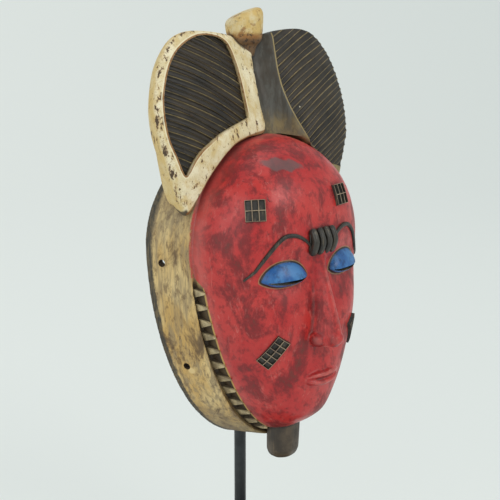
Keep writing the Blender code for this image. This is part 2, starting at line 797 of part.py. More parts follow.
def build_mask():
    mask = mesh_object("mask", *face_body())
    near = mesh_object("lobe_near", *lobe(-1))
    near_line = smooth_line([lobe_point(*p) for p in FIELD_LINE], 3, True)
    boolean(near, strand_cutter("near_strands", -1, near_line, NEAR_PITCH), "DIFFERENCE")
    boolean(mask, near, "UNION")
    far = mesh_object("lobe_far", *lobe(1))
    boolean(far, strand_cutter("far_strands", 1, far_field(), FAR_PITCH), "DIFFERENCE")
    boolean(far, mesh_object("far_valley", *valley()), "DIFFERENCE")
    boolean(mask, far, "UNION")
    adds = [("knob_top", knob()), ("beard_peg", beard()), ("nose_ridge", nose())]
    for side, word in ((-1, "near"), (1, "far")):
        adds.append(("lid_" + word, lid(side)))
        adds.append(("lower_lid_" + word, lower_lid(side)))
        adds.append(("wing_" + word, wing(side)))
    adds.append(("lip_upper", lip(0.0042, EYE_WIDE * 0.50, 0.0052, 0.0085)))
    adds.append(("lip_lower", lip(-0.0048, EYE_WIDE * 0.42, 0.0058, 0.0085)))
    adds.append(("brows", joined([brow(-1), brow(1)])))
    adds.append(("brow_pad", brow_pad()))
    adds.append(("brow_ribs", joined([brow_rib(n) for n in range(4)])))
    blocks = []
    for x, z in BLOCK_SPOTS:
        blocks.append(waffle(FACE_HALF * x, face_height(z), 0.0, BLOCK_WIDE, BLOCK_TALL, 3, 2))
    for side in (-1, 1):
        blocks.append(waffle(side * FACE_HALF * CHEEK_SPOT[0], face_height(CHEEK_SPOT[1]), -side * CHEEK_TURN,
                             BLOCK_WIDE * 1.75, BLOCK_TALL * 0.72, 5, 2))
    adds.append(("scar_blocks", joined(blocks)))
    adds.append(("teeth_near", teeth(-1)))
    adds.append(("teeth_far", teeth(1)))
    for name, shape in adds:
        boolean(mask, mesh_object(name, *shape), "UNION")
    boolean(mask, hollow(), "DIFFERENCE")
    boolean(mask, mesh_object("eye_slits", *joined([eye_slit(-1), eye_slit(1)])), "DIFFERENCE")
    boolean(mask, mesh_object("cord_holes", *cord_holes()), "DIFFERENCE")
    thin = mask.modifiers.new("fewer faces", "DECIMATE")
    thin.ratio = KEEP_SHARE
    thin.use_collapse_triangulate = True
    mask.data.materials.append(material("painted carved wood", (0.42, 0.03, 0.03), 0.45))
    return mask


def build_stand():
    ceiling_y = (ROD_BACK - MASK_BACK - math.sin(LEAN) * CEILING) / math.cos(LEAN)
    bearing = np.array(place((0.0, ceiling_y, CEILING)))
    up = np.array([0.0, math.sin(LEAN), math.cos(LEAN)])
    axis = bearing - up * (BAR_WIDE / 2 + FIT)
    rod_end = axis[2] - BAR_WIDE * 0.1
    foot = PLATE_THICK + FIT
    steel = material("black steel", (0.02, 0.02, 0.022), 0.35, 0.6)
    rod = mesh_object(
        "stand_rod", *round_bar((0, ROD_BACK, foot), (0, ROD_BACK, rod_end), ROD_R, (1, 0, 0)),
        leaned=False,
    )
    bar = mesh_object(
        "cross_bar",
        *round_bar((-BAR_LONG / 2, axis[1], axis[2]), (BAR_LONG / 2, axis[1], axis[2]), BAR_WIDE / 2,
                   (0, 0, 1), 20),
        leaned=False,
    )
    boolean(rod, bar, "UNION")
    rod.data.materials.append(steel)
    plate = rounded_box("stand_base", PLATE_WIDE, PLATE_LONG, 0.0, PLATE_THICK, PLATE_CORNER)
    plate.data.materials.append(steel.copy())
    plate.data.materials[0].name = "black steel foot"


build_mask()
build_stand()
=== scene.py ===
import math
import time

import bmesh
import bpy
import numpy as np
from mathutils import Matrix, Vector, noise
from mathutils.bvhtree import BVHTree


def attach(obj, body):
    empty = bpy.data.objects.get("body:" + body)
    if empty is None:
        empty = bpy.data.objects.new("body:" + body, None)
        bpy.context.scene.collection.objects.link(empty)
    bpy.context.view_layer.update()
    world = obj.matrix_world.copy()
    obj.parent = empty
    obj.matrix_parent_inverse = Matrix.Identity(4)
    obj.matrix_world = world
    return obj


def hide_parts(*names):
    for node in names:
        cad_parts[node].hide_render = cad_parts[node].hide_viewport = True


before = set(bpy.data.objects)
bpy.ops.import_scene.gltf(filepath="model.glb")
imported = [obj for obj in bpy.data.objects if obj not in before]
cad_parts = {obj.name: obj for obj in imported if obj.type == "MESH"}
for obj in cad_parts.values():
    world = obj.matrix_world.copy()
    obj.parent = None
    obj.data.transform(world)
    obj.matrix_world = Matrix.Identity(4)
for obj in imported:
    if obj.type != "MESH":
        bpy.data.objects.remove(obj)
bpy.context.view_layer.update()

# A carved and painted face mask with a two-lobed coiffure, on its steel stand.
# The mask is shaped upright in its own space: x across, y back, z up from the low end of
# the side band. At the end it is leaned back and lifted to where the frame holds it.
startTime = time.time()


def say(text):
    print("%6.1f s  %s" % (time.time() - startTime, text))


shot = {"target": (-0.030, -0.0042, 0.343), "azimuth": -43.0, "elevation": 14.0,
        "away": 0.900, "lens": 70.2}


def addCamera():
    turn, tilt = math.radians(shot["azimuth"]), math.radians(shot["elevation"])
    back = Vector((math.sin(turn) * math.cos(tilt), -math.cos(turn) * math.cos(tilt), math.sin(tilt)))
    data = bpy.data.cameras.new("camera")
    data.sensor_width = 36.0
    data.lens = shot["lens"]
    data.clip_start, data.clip_end = 0.05, 30.0
    camera = bpy.data.objects.new("camera", data)
    camera.location = Vector(shot["target"]) + back * shot["away"]
    camera.rotation_euler = back.to_track_quat("Z", "Y").to_euler()
    bpy.context.scene.collection.objects.link(camera)
    bpy.context.scene.camera = camera


addCamera()
say("camera")

# Sizes in metres, the same as the frame's
place = {"lean": math.radians(4.0), "back": 0.035793, "lift": 0.144}
band = {"wide": 0.220, "tall": 0.300, "deep": 0.046, "flare": 0.014, "wall": 0.009, "midShare": 0.667}
face = {"gap": 0.004, "low": 0.014, "high": 0.300, "bulge": 0.066, "taper": 0.17, "wall": 0.010,
        "groove": 0.006, "brow": 0.667, "nose": 0.335, "eye": 0.58, "mouth": 0.225,
        "eyeWide": 0.046, "slitTall": 0.0034, "noseOut": 0.024, "voxel": 0.0011, "triangles": 96000,
        "uneven": 0.00022, "unevenPace": 60.0}
coiffure = {"wide": 0.242, "top": 0.394, "front": 0.051, "lean": 0.19, "bulge": 0.008, "roll": 0.0036,
            "sink": 0.0022, "cut": 0.0015, "nearPitch": 0.0047, "farPitch": 0.0055, "ridge": 0.0010,
            "partingHold": 0.3}
knobSize = {"wide": 0.039, "top": 0.4155, "forward": 0.0285}
beardSize = {"wide": 0.032, "end": -0.015, "forward": 0.0535}
tooth = {"count": 12, "pitch": 0.0150, "long": 0.012}
block = {"wide": 0.018, "tall": 0.019, "proud": 0.0028, "gap": 0.0011, "sink": 0.0018,
         "spots": ((-0.66, 0.790), (0.37, 0.802)), "cheek": (0.555, 0.340), "turn": math.radians(50)}
hole = {"wide": 0.007, "slant": math.radians(34), "spots": ((0.64, 0.017), (0.303, 0.021))}
ceilingShare = 0.90

bandHalf = band["wide"] / 2
bandMid = band["tall"] * band["midShare"]
faceHalf = bandHalf - band["flare"] - face["gap"]
faceTall = face["high"] - face["low"]
faceMid = face["low"] + faceTall * 0.64
hairTall = coiffure["top"] - face["high"]
lobeHalf = coiffure["wide"] / 2
lobeMid = face["high"] + hairTall * 0.26


def eggLine(half, mid, low, high, taper=0.0, count=200):
    t = 2 * np.pi * (np.arange(count) + 0.5) / count
    c = np.cos(t)
    x = half * np.sin(t) * (1 - taper * np.maximum(0.0, c))
    return np.stack([x, mid - c * np.where(c > 0, low, high)], 1)


def smoothLine(points, steps, closed):  # a curve through the points
    p = np.array(points, float)
    n = len(p)
    out = []
    for i in range(n if closed else n - 1):
        if closed:
            a, b, c, d = (p[(i + k) % n] for k in (-1, 0, 1, 2))
        else:
            a, b, c, d = (p[min(max(i + k, 0), n - 1)] for k in (-1, 0, 1, 2))
        for k in range(steps):
            t = k / steps
            out.append(0.5 * (2 * b + (c - a) * t + (2 * a - 5 * b + 4 * c - d) * t * t
                              + (3 * b - a - 3 * c + d) * t ** 3))
    if not closed:
        out.append(p[-1])
    return np.array(out)


def swell(x, z, atX, atZ, wide, tall):
    return np.exp(-((x - atX) / wide) ** 2 - ((z - atZ) / tall) ** 2)


def faceUp(share):
    return face["low"] + faceTall * share


browZ, noseZ, eyeZ, mouthZ = faceUp(face["brow"]), faceUp(face["nose"]), faceUp(face["eye"]), faceUp(face["mouth"])
eyeX = faceHalf * 0.41


def faceSwell(x, z):  # 0 at the edge of the face, 1 in the middle
    low = z < faceMid
    drop = (z - faceMid) / np.where(low, faceMid - face["low"], face["high"] - faceMid)
    v = np.minimum(np.abs(drop), 0.99999)
    half = faceHalf * (1 - face["taper"] * v * low) * np.sqrt(1 - v * v)
    u = np.minimum(np.abs(x) / half, 1.0)
    return (1 - v ** np.where(low, 4.5, 3.0)) ** 0.6 * (1 - u ** 3.2) ** 0.55


def faceDepth(x, z):  # how far forward the smooth face stands
    rise = faceSwell(x, z)
    w, h = faceHalf, faceTall
    soft = 0.003 * swell(x, z, 0, faceUp(0.80), w * 0.70, h * 0.14)
    soft = soft + 0.004 * swell(x, z, 0, browZ, w * 0.50, h * 0.05)
    for side in (-1, 1):
        soft = soft - 0.007 * swell(x, z, side * eyeX, eyeZ, w * 0.27, h * 0.075)
        soft = soft + 0.003 * swell(x, z, side * w * 0.48, faceUp(0.42), w * 0.3, h * 0.1)
    soft = soft + 0.006 * swell(x, z, 0, mouthZ, w * 0.34, h * 0.08)
    soft = soft + 0.009 * swell(x, z, 0, faceUp(0.09), w * 0.34, h * 0.07)
    return band["deep"] + face["bulge"] * rise + soft * np.minimum(1.0, rise * 1.6)


def onFace(x, z, out=0.0):  # a point above the face with its across, up and outward directions
    d = 0.0015
    dx = float(faceDepth(x + d, z) - faceDepth(x - d, z)) / (2 * d)
    dz = float(faceDepth(x, z + d) - faceDepth(x, z - d)) / (2 * d)
    outward = np.array([-dx, -1.0, -dz]) / math.sqrt(1 + dx * dx + dz * dz)
    across = np.cross(outward, (0.0, 0.0, 1.0))
    across = -across / np.linalg.norm(across)
    upward = np.cross(outward, across)
    if upward[2] < 0:
        upward = -upward
    if across[0] < 0:
        across = -across
    return np.array([x, -float(faceDepth(x, z)), z]) + outward * out, across, upward, outward


def ringShell(rings, ends=True, startSpot=None, endSpot=None):
    # a circle moved to the first ring and extruded from ring to ring, closed at both ends
    shell = bmesh.new()
    ring = bmesh.ops.create_circle(shell, segments=len(rings[0]), radius=1.0)["verts"]
    for vert, spot in zip(ring, rings[0]):
        vert.co = spot
    edges = shell.edges[:]
    caps = []
    if ends:
        caps.append((bmesh.ops.contextual_create(shell, geom=edges)["faces"], startSpot))
    for spots in rings[1:]:
        made = bmesh.ops.extrude_edge_only(shell, edges=edges)["geom"]
        fresh = {item for item in made if isinstance(item, bmesh.types.BMVert)}
        edges = [item for item in made if isinstance(item, bmesh.types.BMEdge)
                 and item.verts[0] in fresh and item.verts[1] in fresh]
        moved = []
        for vert in ring:
            moved.append(next(e.other_vert(vert) for e in vert.link_edges if e.other_vert(vert) in fresh))
        ring = moved
        for vert, spot in zip(ring, spots):
            vert.co = spot
    if ends:
        caps.append((bmesh.ops.contextual_create(shell, geom=edges)["faces"], endSpot))
    for faces, spot in caps:
        if spot is not None:
            centre = bmesh.ops.poke(shell, faces=faces)["verts"]
            centre[0].co = spot
    bmesh.ops.triangulate(shell, faces=[f for f in shell.faces if len(f.verts) > 4])
    bmesh.ops.recalc_face_normals(shell, faces=shell.faces)
    return shell


def gridSlab(rows, front):  # a grid moved to rows of points, then drawn forward into a slab
    slab = bmesh.new()
    high, wide = len(rows), len(rows[0])
    made = bmesh.ops.create_grid(slab, x_segments=wide - 1, y_segments=high - 1, size=1.0)["verts"]
    made.sort(key=lambda v: (round(v.co.y, 5), round(v.co.x, 5)))
    for k, vert in enumerate(made):
        vert.co = rows[k // wide][k % wide]
    grown = bmesh.ops.extrude_face_region(slab, geom=slab.faces[:])["geom"]
    for item in grown:
        if isinstance(item, bmesh.types.BMVert):
            item.co.y = -front
    bmesh.ops.triangulate(slab, faces=slab.faces[:])
    bmesh.ops.recalc_face_normals(slab, faces=slab.faces)
    return slab


def ball(centre, radii, segments=32):
    made = bmesh.new()
    bmesh.ops.create_uvsphere(made, u_segments=segments, v_segments=segments // 2, radius=1.0)
    bmesh.ops.scale(made, vec=radii, verts=made.verts)
    bmesh.ops.translate(made, vec=centre, verts=made.verts)
    return made


def pour(pieces):  # several shells in one bmesh
    whole = bmesh.new()
    for piece in pieces:
        keep = bpy.data.meshes.new("part")
        piece.to_mesh(keep)
        piece.free()
        whole.from_mesh(keep)
        bpy.data.meshes.remove(keep)
    return whole


def makeObject(name, shell, finish=None):
    mesh = bpy.data.meshes.new(name)
    shell.to_mesh(mesh)
    shell.free()
    made = bpy.data.objects.new(name, mesh)
    bpy.context.scene.collection.objects.link(made)
    if finish:
        mesh.materials.append(finish)
    return made


def settle(item):  # applies the modifiers
    graph = bpy.context.evaluated_depsgraph_get()
    mesh = bpy.data.meshes.new_from_object(item.evaluated_get(graph))
    item.modifiers.clear()
    old = item.data
    item.data = mesh
    bpy.data.meshes.remove(old)
    return item


def combine(target, tool, operation):
    before = len(target.data.polygons)
    step = target.modifiers.new("combine", "BOOLEAN")
    step.solver = "MANIFOLD"
    step.operation = operation
    step.material_mode = "TRANSFER"
    step.object = tool
    settle(target)
    if len(target.data.polygons) == before:
        print("nothing changed by", tool.name)
    old = tool.data
    bpy.data.objects.remove(tool)
    bpy.data.meshes.remove(old)


def countOpen(item):  # edges that don't have two faces
    check = bmesh.new()
    check.from_mesh(item.data)
    found = sum(1 for e in check.edges if len(e.link_faces) != 2)
    check.free()
    return found


class Wire:  # a socket that can be used in sums
    def __init__(self, finish, socket):
        self.finish = finish
        self.socket = socket

    def sum(self, operation, *values):
        return self.finish.add("ShaderNodeMath", {"operation": operation}, values)

    def __add__(self, other):
        return self.sum("ADD", self, other)

    def __radd__(self, other):
        return self.sum("ADD", other, self)

    def __sub__(self, other):
        return self.sum("SUBTRACT", self, other)

    def __rsub__(self, other):
        return self.sum("SUBTRACT", other, self)

    def __mul__(self, other):
        return self.sum("MULTIPLY", self, other)

    def __rmul__(self, other):
        return self.sum("MULTIPLY", other, self)

    def __truediv__(self, other):
        return self.sum("DIVIDE", self, other)

    def least(self, other):
        return self.sum("MINIMUM", self, other)

    def size(self):
        return self.sum("ABSOLUTE", self)


def tint(red, green, blue):  # 0 to 255 as seen on screen, turned linear
    out = []
    for value in (red, green, blue):
        c = value / 255
        out.append(c / 12.92 if c <= 0.04045 else ((c + 0.055) / 1.055) ** 2.4)
    return (*out, 1.0)


class Finish:  # a material and the ways to add to it
    def __init__(self, name, **fixed):
        self.material = bpy.data.materials.new(name)
        self.material.use_nodes = True
        self.tree = self.material.node_tree
        self.shader = self.tree.nodes["Principled BSDF"]
        for key, value in fixed.items():
            self.shader.inputs[key].default_value = value
        self.coords = self.add("ShaderNodeTexCoord", {}, (), "Object")

    def add(self, kind, settings, values, output=0):
        node = self.tree.nodes.new(kind)
        for key, value in settings.items():
            if key == "stops":
                ramp = node.color_ramp
                ramp.elements.remove(ramp.elements[0])
                ramp.elements[0].position, ramp.elements[0].color = value[0]
                for spot, colour in value[1:]:
                    ramp.elements.new(spot).color = colour
            else:
                setattr(node, key, value)
        for key, value in (values.items() if isinstance(values, dict) else enumerate(values)):
            if isinstance(value, Wire):
                self.tree.links.new(value.socket, node.inputs[key])
            else:
                node.inputs[key].default_value = value
        return Wire(self, node.outputs[output])

    def fact(self, name):  # a number kept on the mesh
        return self.add("ShaderNodeAttribute", {"attribute_name": name}, (), "Fac")

    def spots(self, scale, detail=3.0, rough=0.55, stretch=(1, 1, 1), shift=(0, 0, 0), warp=0.0):
        at = self.add("ShaderNodeMapping", {}, {"Vector": self.coords, "Location": shift, "Scale": stretch})
        return self.add("ShaderNodeTexNoise", {}, {"Vector": at, "Scale": scale, "Detail": detail,
                                                   "Roughness": rough, "Distortion": warp}, 0)

    def cells(self, scale, stretch=(1, 1, 1), shift=(0, 0, 0)):
        at = self.add("ShaderNodeMapping", {}, {"Vector": self.coords, "Location": shift, "Scale": stretch})
        return self.add("ShaderNodeTexVoronoi", {}, {"Vector": at, "Scale": scale}, "Distance")

    def step(self, wire, low, high):  # smooth 0 to 1 as the wire goes from low to high
        return self.add("ShaderNodeMapRange", {"interpolation_type": "SMOOTHSTEP"}, (wire, low, high, 0.0, 1.0))

    def mix(self, share, first, second):
        return self.add("ShaderNodeMix", {"data_type": "RGBA"}, {0: share, 6: first, 7: second}, 2)

    def feed(self, name, wire):
        self.tree.links.new(wire.socket, self.shader.inputs[name])

    def bump(self, height, strength, distance):
        made = self.add("ShaderNodeBump", {}, {"Strength": strength, "Distance": distance, "Height": height}, 0)
        self.feed("Normal", made)


woodTints = {"gold": tint(196, 158, 92), "pale": tint(218, 190, 134), "grey": tint(138, 120, 92),
             "brown": tint(90, 66, 42), "dark": tint(48, 36, 26)}


def bareWood(f, low, high):
    # worn ochre wood with its grain up and down, browner towards low and high ends; the brown at the very low end is
    # painted shade on the underside
    height = f.add("ShaderNodeSeparateXYZ", {}, (f.coords,), 2)
    broad = f.spots(24, 3, 0.6, (1, 1, 0.5))
    grain = f.spots(170, 4, 0.62, (1, 1, 0.10), warp=0.5)
    fine = f.spots(600, 3, 0.7, (1, 1, 0.07))
    blotch = f.spots(44, 5, 0.7, (1, 1, 0.42), (0.3, 0.1, 0.7), 0.4)
    short = f.spots(210, 4, 0.7, (1, 1, 0.45), (0.7, 0.2, 0.4))
    colour = f.mix(f.step(broad, 0.38, 0.62), woodTints["gold"], woodTints["pale"])
    colour = f.mix(f.step(grain, 0.42, 0.64) * 0.75, colour, woodTints["grey"])
    colour = f.mix(f.step(short, 0.50, 0.66) * 0.65, colour, woodTints["brown"])
    colour = f.mix(f.step(fine, 0.50, 0.78) * 0.50, colour, woodTints["brown"])
    away = f.step(height, high - 0.04, high + 0.05) + f.step(height, low + 0.07, low + 0.01)
    colour = f.mix(away.least(1.0) * (0.30 + 0.6 * f.step(blotch, 0.36, 0.58)), colour, woodTints["grey"])
    # painted shade: the underside at the low end is browned
    colour = f.mix(f.step(height, low + 0.035, low - 0.005) * 0.85, colour, woodTints["brown"])
    colour = f.mix(f.step(blotch, 0.51, 0.64) * 0.85, colour, woodTints["brown"])
    colour = f.mix(f.step(blotch + fine * 0.10, 0.68, 0.78) * 0.7, colour, woodTints["dark"])
    return colour, grain, fine, blotch


redTints = {"clear": tint(176, 30, 32), "bright": tint(188, 52, 48), "deep": tint(112, 12, 18),
            "dustAndSheen": tint(196, 104, 96), "sootAndShade": tint(44, 24, 22), "patch": tint(98, 76, 76),
            "brown": tint(96, 44, 34)}
blueTints = {"clear": tint(24, 84, 148), "light": tint(62, 120, 176), "deep": tint(12, 42, 84)}
darkTints = {"field": tint(58, 45, 28), "deep": tint(25, 19, 13), "olive": tint(146, 127, 82),
             "slate": tint(80, 78, 72), "strip": tint(57, 53, 46)}
creamTints = {"clear": tint(213, 196, 154), "yellow": tint(202, 171, 104), "white": tint(232, 220, 188),
              "stain": tint(138, 90, 40), "fleck": tint(54, 40, 27)}


def finishBody():
    f = Finish("red face and ochre band", Roughness=0.45)
    inFace, lidIn, forward, cavity = f.fact("faceIn"), f.fact("lidIn"), f.fact("forward"), f.fact("cavity")
    grooveHere = f.fact("grooved")
    wood, grain, fine, blotch = bareWood(f, place["lift"], place["lift"] + 0.227)
    height = f.add("ShaderNodeSeparateXYZ", {}, (f.coords,), 2)
    wobble = (f.spots(90, 3, 0.6) - 0.5) * 2.0
    rough = (f.spots(420, 3, 0.7) - 0.5) * 2.0
    # black strip along the back edge of the band, wider towards the top
    wider = f.step(height, place["lift"] + 0.162, place["lift"] + 0.242)
    strip = f.step(forward + wobble * 2.6 + rough * 1.2, 7.2 + 3.4 * wider, 5.4)
    wood = f.mix(strip * (0.78 + 0.22 * f.step(fine, 0.62, 0.40)), wood, darkTints["strip"])
    # painted shade: the bare wood is browned in its creases
    wood = f.mix(f.step(cavity, 0.10, 0.30) * 0.7, wood, woodTints["brown"])
    pale = f.step(f.fact("scar") + rough * 0.25, 0.95, 0.55)
    wood = f.mix(pale * 0.9, wood, woodTints["pale"])
    # the paint of the face
    cloud = f.spots(20, 4, 0.6)
    drift = f.spots(44, 5, 0.68, (1, 1, 0.7), (0.2, 0.5, 0.1), 0.3)
    mottle = f.spots(150, 4, 0.7, (1, 1, 0.8), (0.6, 0.3, 0.9))
    speck = f.spots(800, 2, 0.6)
    scuff = f.spots(230, 4, 0.7, (1.0, 1.0, 0.32), warp=0.9)
    scratch = f.spots(120, 2, 0.5, (0.35, 1.0, 2.4), (0.1, 0.8, 0.5), 1.2)
    red = f.mix(f.step(cloud, 0.36, 0.64), redTints["clear"], redTints["bright"])
    red = f.mix(f.step(drift, 0.46, 0.60) * 0.85, red, redTints["deep"])
    red = f.mix(f.step(mottle, 0.50, 0.66) * 0.60, red, redTints["deep"])
    red = f.mix(f.step(mottle, 0.46, 0.30) * 0.35, red, redTints["bright"])
    red = f.mix(f.step(scuff, 0.54, 0.70) * f.step(cloud, 0.40, 0.58) * 0.60, red, redTints["dustAndSheen"])
    red = f.mix(f.step(drift + mottle * 0.4, 0.80, 0.92) * 0.65, red, redTints["brown"])
    red = f.mix(f.step((scratch - 0.5).size(), 0.006, 0.001) * f.step(mottle, 0.48, 0.60) * 0.5, red,
                redTints["sootAndShade"])
    # painted shade: the red darkens towards near black in its creases
    red = f.mix(f.step(cavity, 0.12, 0.38) * 0.60, red, redTints["sootAndShade"])
    red = f.mix(f.step(speck, 0.66, 0.76) * 0.65, red, redTints["sootAndShade"])
    red = f.mix(f.step(cavity + rough * 0.06, -0.14, -0.40) * 0.45, red, redTints["dustAndSheen"])
    patch = f.step(f.fact("patch") + wobble * 0.30 + rough * 0.12, 0.25, -0.1)
    red = f.mix(patch * 0.80, red, redTints["patch"])
    crack = f.step(f.fact("crack") + rough * 0.12, 0.45, 0.15)
    red = f.mix(crack * 0.8, red, redTints["sootAndShade"])
    # pale pink on the steep side of the face beside the band: partly dust, partly a painted sheen where the paint is
    # seen at a grazing angle
    red = f.mix(f.step(forward + wobble * 3.0, 66.0, 52.0) * 0.45, red, redTints["dustAndSheen"])
    # blue lids with a dark line round them and a thin worn one outside it
    blue = f.mix(f.step(drift, 0.42, 0.62), blueTints["clear"], blueTints["light"])
    blue = f.mix(f.step(mottle, 0.50, 0.68) * 0.6, blue, blueTints["deep"])
    # painted shade: the blue darkens in its creases
    blue = f.mix(f.step(cavity, 0.04, 0.24) * 0.7, blue, blueTints["deep"])
    lidEdge = lidIn + wobble * 0.20 + rough * 0.10
    skin = f.mix(f.step((lidEdge + 1.5).size(), 0.65, 0.25) * 0.65, red, darkTints["olive"])
    skin = f.mix(f.step(lidEdge, -1.2, -0.8), skin, darkTints["deep"])
    skin = f.mix(f.step(lidEdge, 0.1, 0.5), skin, blue)
    # between face and band: low down a groove filled with painted shade in dark brown, then a thin bare line, then
    # the paint
    groove = f.step(inFace + wobble * 0.25, -3.9, -3.3) * grooveHere
    wood = f.mix(groove * 0.92, wood, woodTints["dark"])
    bare = groove * f.step(forward + rough * 0.3, 52.6, 53.6)
    wood = f.mix(bare * 0.9, wood, woodTints["gold"])
    painted = f.step(forward - 9.6 * grooveHere + wobble * 0.45 + rough * 0.35, 45.1, 45.7)
    painted = painted * f.step(inFace, -7.0, -6.0)
    f.feed("Base Color", f.mix(painted, wood, skin))
    gloss = 0.30 + 0.18 * f.step(drift, 0.35, 0.65) + 0.10 * f.step(scuff, 0.5, 0.75)
    f.feed("Roughness", 0.62 - painted * (0.62 - gloss))
    f.bump(painted * 0.35 + grain * 0.6 * (1 - painted) + fine * 0.4 * (1 - painted) + scuff * 0.22
           + mottle * painted * 0.25 - crack * 0.6 - patch * 0.12, 0.6, 0.0008)
    return f.material


def darkWood(name, first, second, edgeTint, edgeShare=0.75, wornAndLitFrom=-0.50):
    # black paint that is worn to lighter wood along its edges, the lighter edges also standing in for a painted
    # highlight; its creases get painted shade
    f = Finish(name, Roughness=0.48)
    cavity = f.fact("cavity")
    cloud = f.spots(60, 4, 0.6)
    rough = (f.spots(500, 3, 0.7) - 0.5) * 2.0
    streak = f.spots(260, 4, 0.6, (1, 1, 0.12))
    colour = f.mix(f.step(cloud, 0.35, 0.65), first, second)
    colour = f.mix(f.step(streak, 0.52, 0.75) * 0.30, colour, edgeTint)
    # the lighter edges: worn paint and a painted highlight
    worn = f.step(cavity + rough * 0.12, wornAndLitFrom, wornAndLitFrom - 0.22)
    colour = f.mix(worn * edgeShare, colour, edgeTint)
    # painted shade in the creases
    colour = f.mix(f.step(cavity, 0.08, 0.30) * 0.8, colour, darkTints["deep"])
    f.feed("Base Color", colour)
    f.feed("Roughness", 0.36 + 0.2 * f.step(cloud, 0.3, 0.7))
    f.bump(streak * 0.5 + rough * 0.15, 0.5, 0.0005)
    return f.material


def finishNearLobe():
    f = Finish("cream border and dark strands", Roughness=0.6)
    inField, dip, hair, drop, cavity = (f.fact("fieldIn"), f.fact("dip"), f.fact("hairDist"), f.fact("lobeDrop"),
                                        f.fact("cavity"))
    wobble = (f.spots(90, 3, 0.6) - 0.5) * 2.0
    rough = (f.spots(480, 3, 0.7) - 0.5) * 2.0
    cloud = f.spots(34, 4, 0.6)
    patchy = f.spots(110, 5, 0.72, (1, 1, 0.6), (0.5, 0.1, 0.2), 0.3)
    fleck = f.spots(260, 4, 0.7, (1, 1, 0.45))
    fine = f.spots(800, 2, 0.6)
    cream = f.mix(f.step(cloud, 0.38, 0.62), creamTints["clear"], creamTints["white"])
    cream = f.mix(f.step(patchy, 0.44, 0.60) * 0.55, cream, creamTints["yellow"])
    cream = f.mix(f.step(drop, 1.0, 6.0) * (0.40 + 0.5 * f.step(cloud, 0.40, 0.60)), cream, creamTints["yellow"])
    # wear: along the bend of the border, at its edges and in loose flecks
    bend = f.step((drop - 2.2).size(), 2.4, 0.4) * f.step(inField, -2.5, -5.0) * f.step(hair, 5.0, 12.0)
    edge = f.step(cavity + rough * 0.08, -0.16, -0.44)
    lost = fleck + 0.10 * bend + 0.05 * edge + 0.05 * f.step(patchy, 0.50, 0.66)
    cream = f.mix(f.step(fine + bend * 0.06, 0.58, 0.74) * 0.45, cream, creamTints["stain"])
    cream = f.mix(f.step(lost, 0.60, 0.65) * 0.75, cream, creamTints["stain"])
    cream = f.mix(f.step(lost, 0.635, 0.675) * 0.90, cream, creamTints["fleck"])
    wall = f.step(drop + rough * 0.3, 1.0, 2.0) * f.step(hair + wobble * 0.8, 6.5, 4.5)
    cream = f.mix(wall * 0.92, cream, woodTints["dark"])
    lip = f.step(drop, 4.0, 2.6) * f.step(hair + wobble * 0.5 + rough * 0.3, 3.0, 2.0)
    cream = f.mix(lip * 0.85, cream, creamTints["stain"])
    # painted shade: the cream is darkened to dark brown in its creases
    cream = f.mix(f.step(cavity, 0.12, 0.30) * 0.8, cream, woodTints["dark"])
    # the sunk field: a brown line round it, and a thin white one along its outer side
    rim = inField + wobble * 0.25 + rough * 0.15
    away = f.step(hair, 17.0, 24.0)
    cream = f.mix(f.step((rim + 1.9).size(), 0.65, 0.25) * away * 0.8, cream, creamTints["white"])
    cream = f.mix(f.step((rim + 0.65).size(), 0.85, 0.35) * (0.25 + 0.70 * away), cream, creamTints["stain"])
    dark = f.mix(f.step(cloud, 0.4, 0.62), darkTints["field"], darkTints["deep"])
    ridge = f.step(dip + rough * 0.25 + wobble * 0.16, 0.46, 0.10)
    dark = f.mix(ridge * (0.55 + 0.35 * f.step(patchy, 0.56, 0.42)), dark, darkTints["olive"])
    # painted shade in the bottoms of the carved strand grooves
    dark = f.mix(f.step(dip, 0.5, 1.2) * 0.6, dark, darkTints["deep"])
    dark = f.mix(f.step(patchy, 0.60, 0.70) * 0.4, dark, woodTints["brown"])
    f.feed("Base Color", f.mix(f.step(rim, -0.10, 0.25), cream, dark))
    f.feed("Roughness", 0.66 - 0.12 * f.step(rim, -0.1, 0.25))
    f.bump(f.step(lost, 0.66, 0.60) * 0.5 + fine * 0.2 + patchy * 0.4, 0.6, 0.0007)
    return f.material


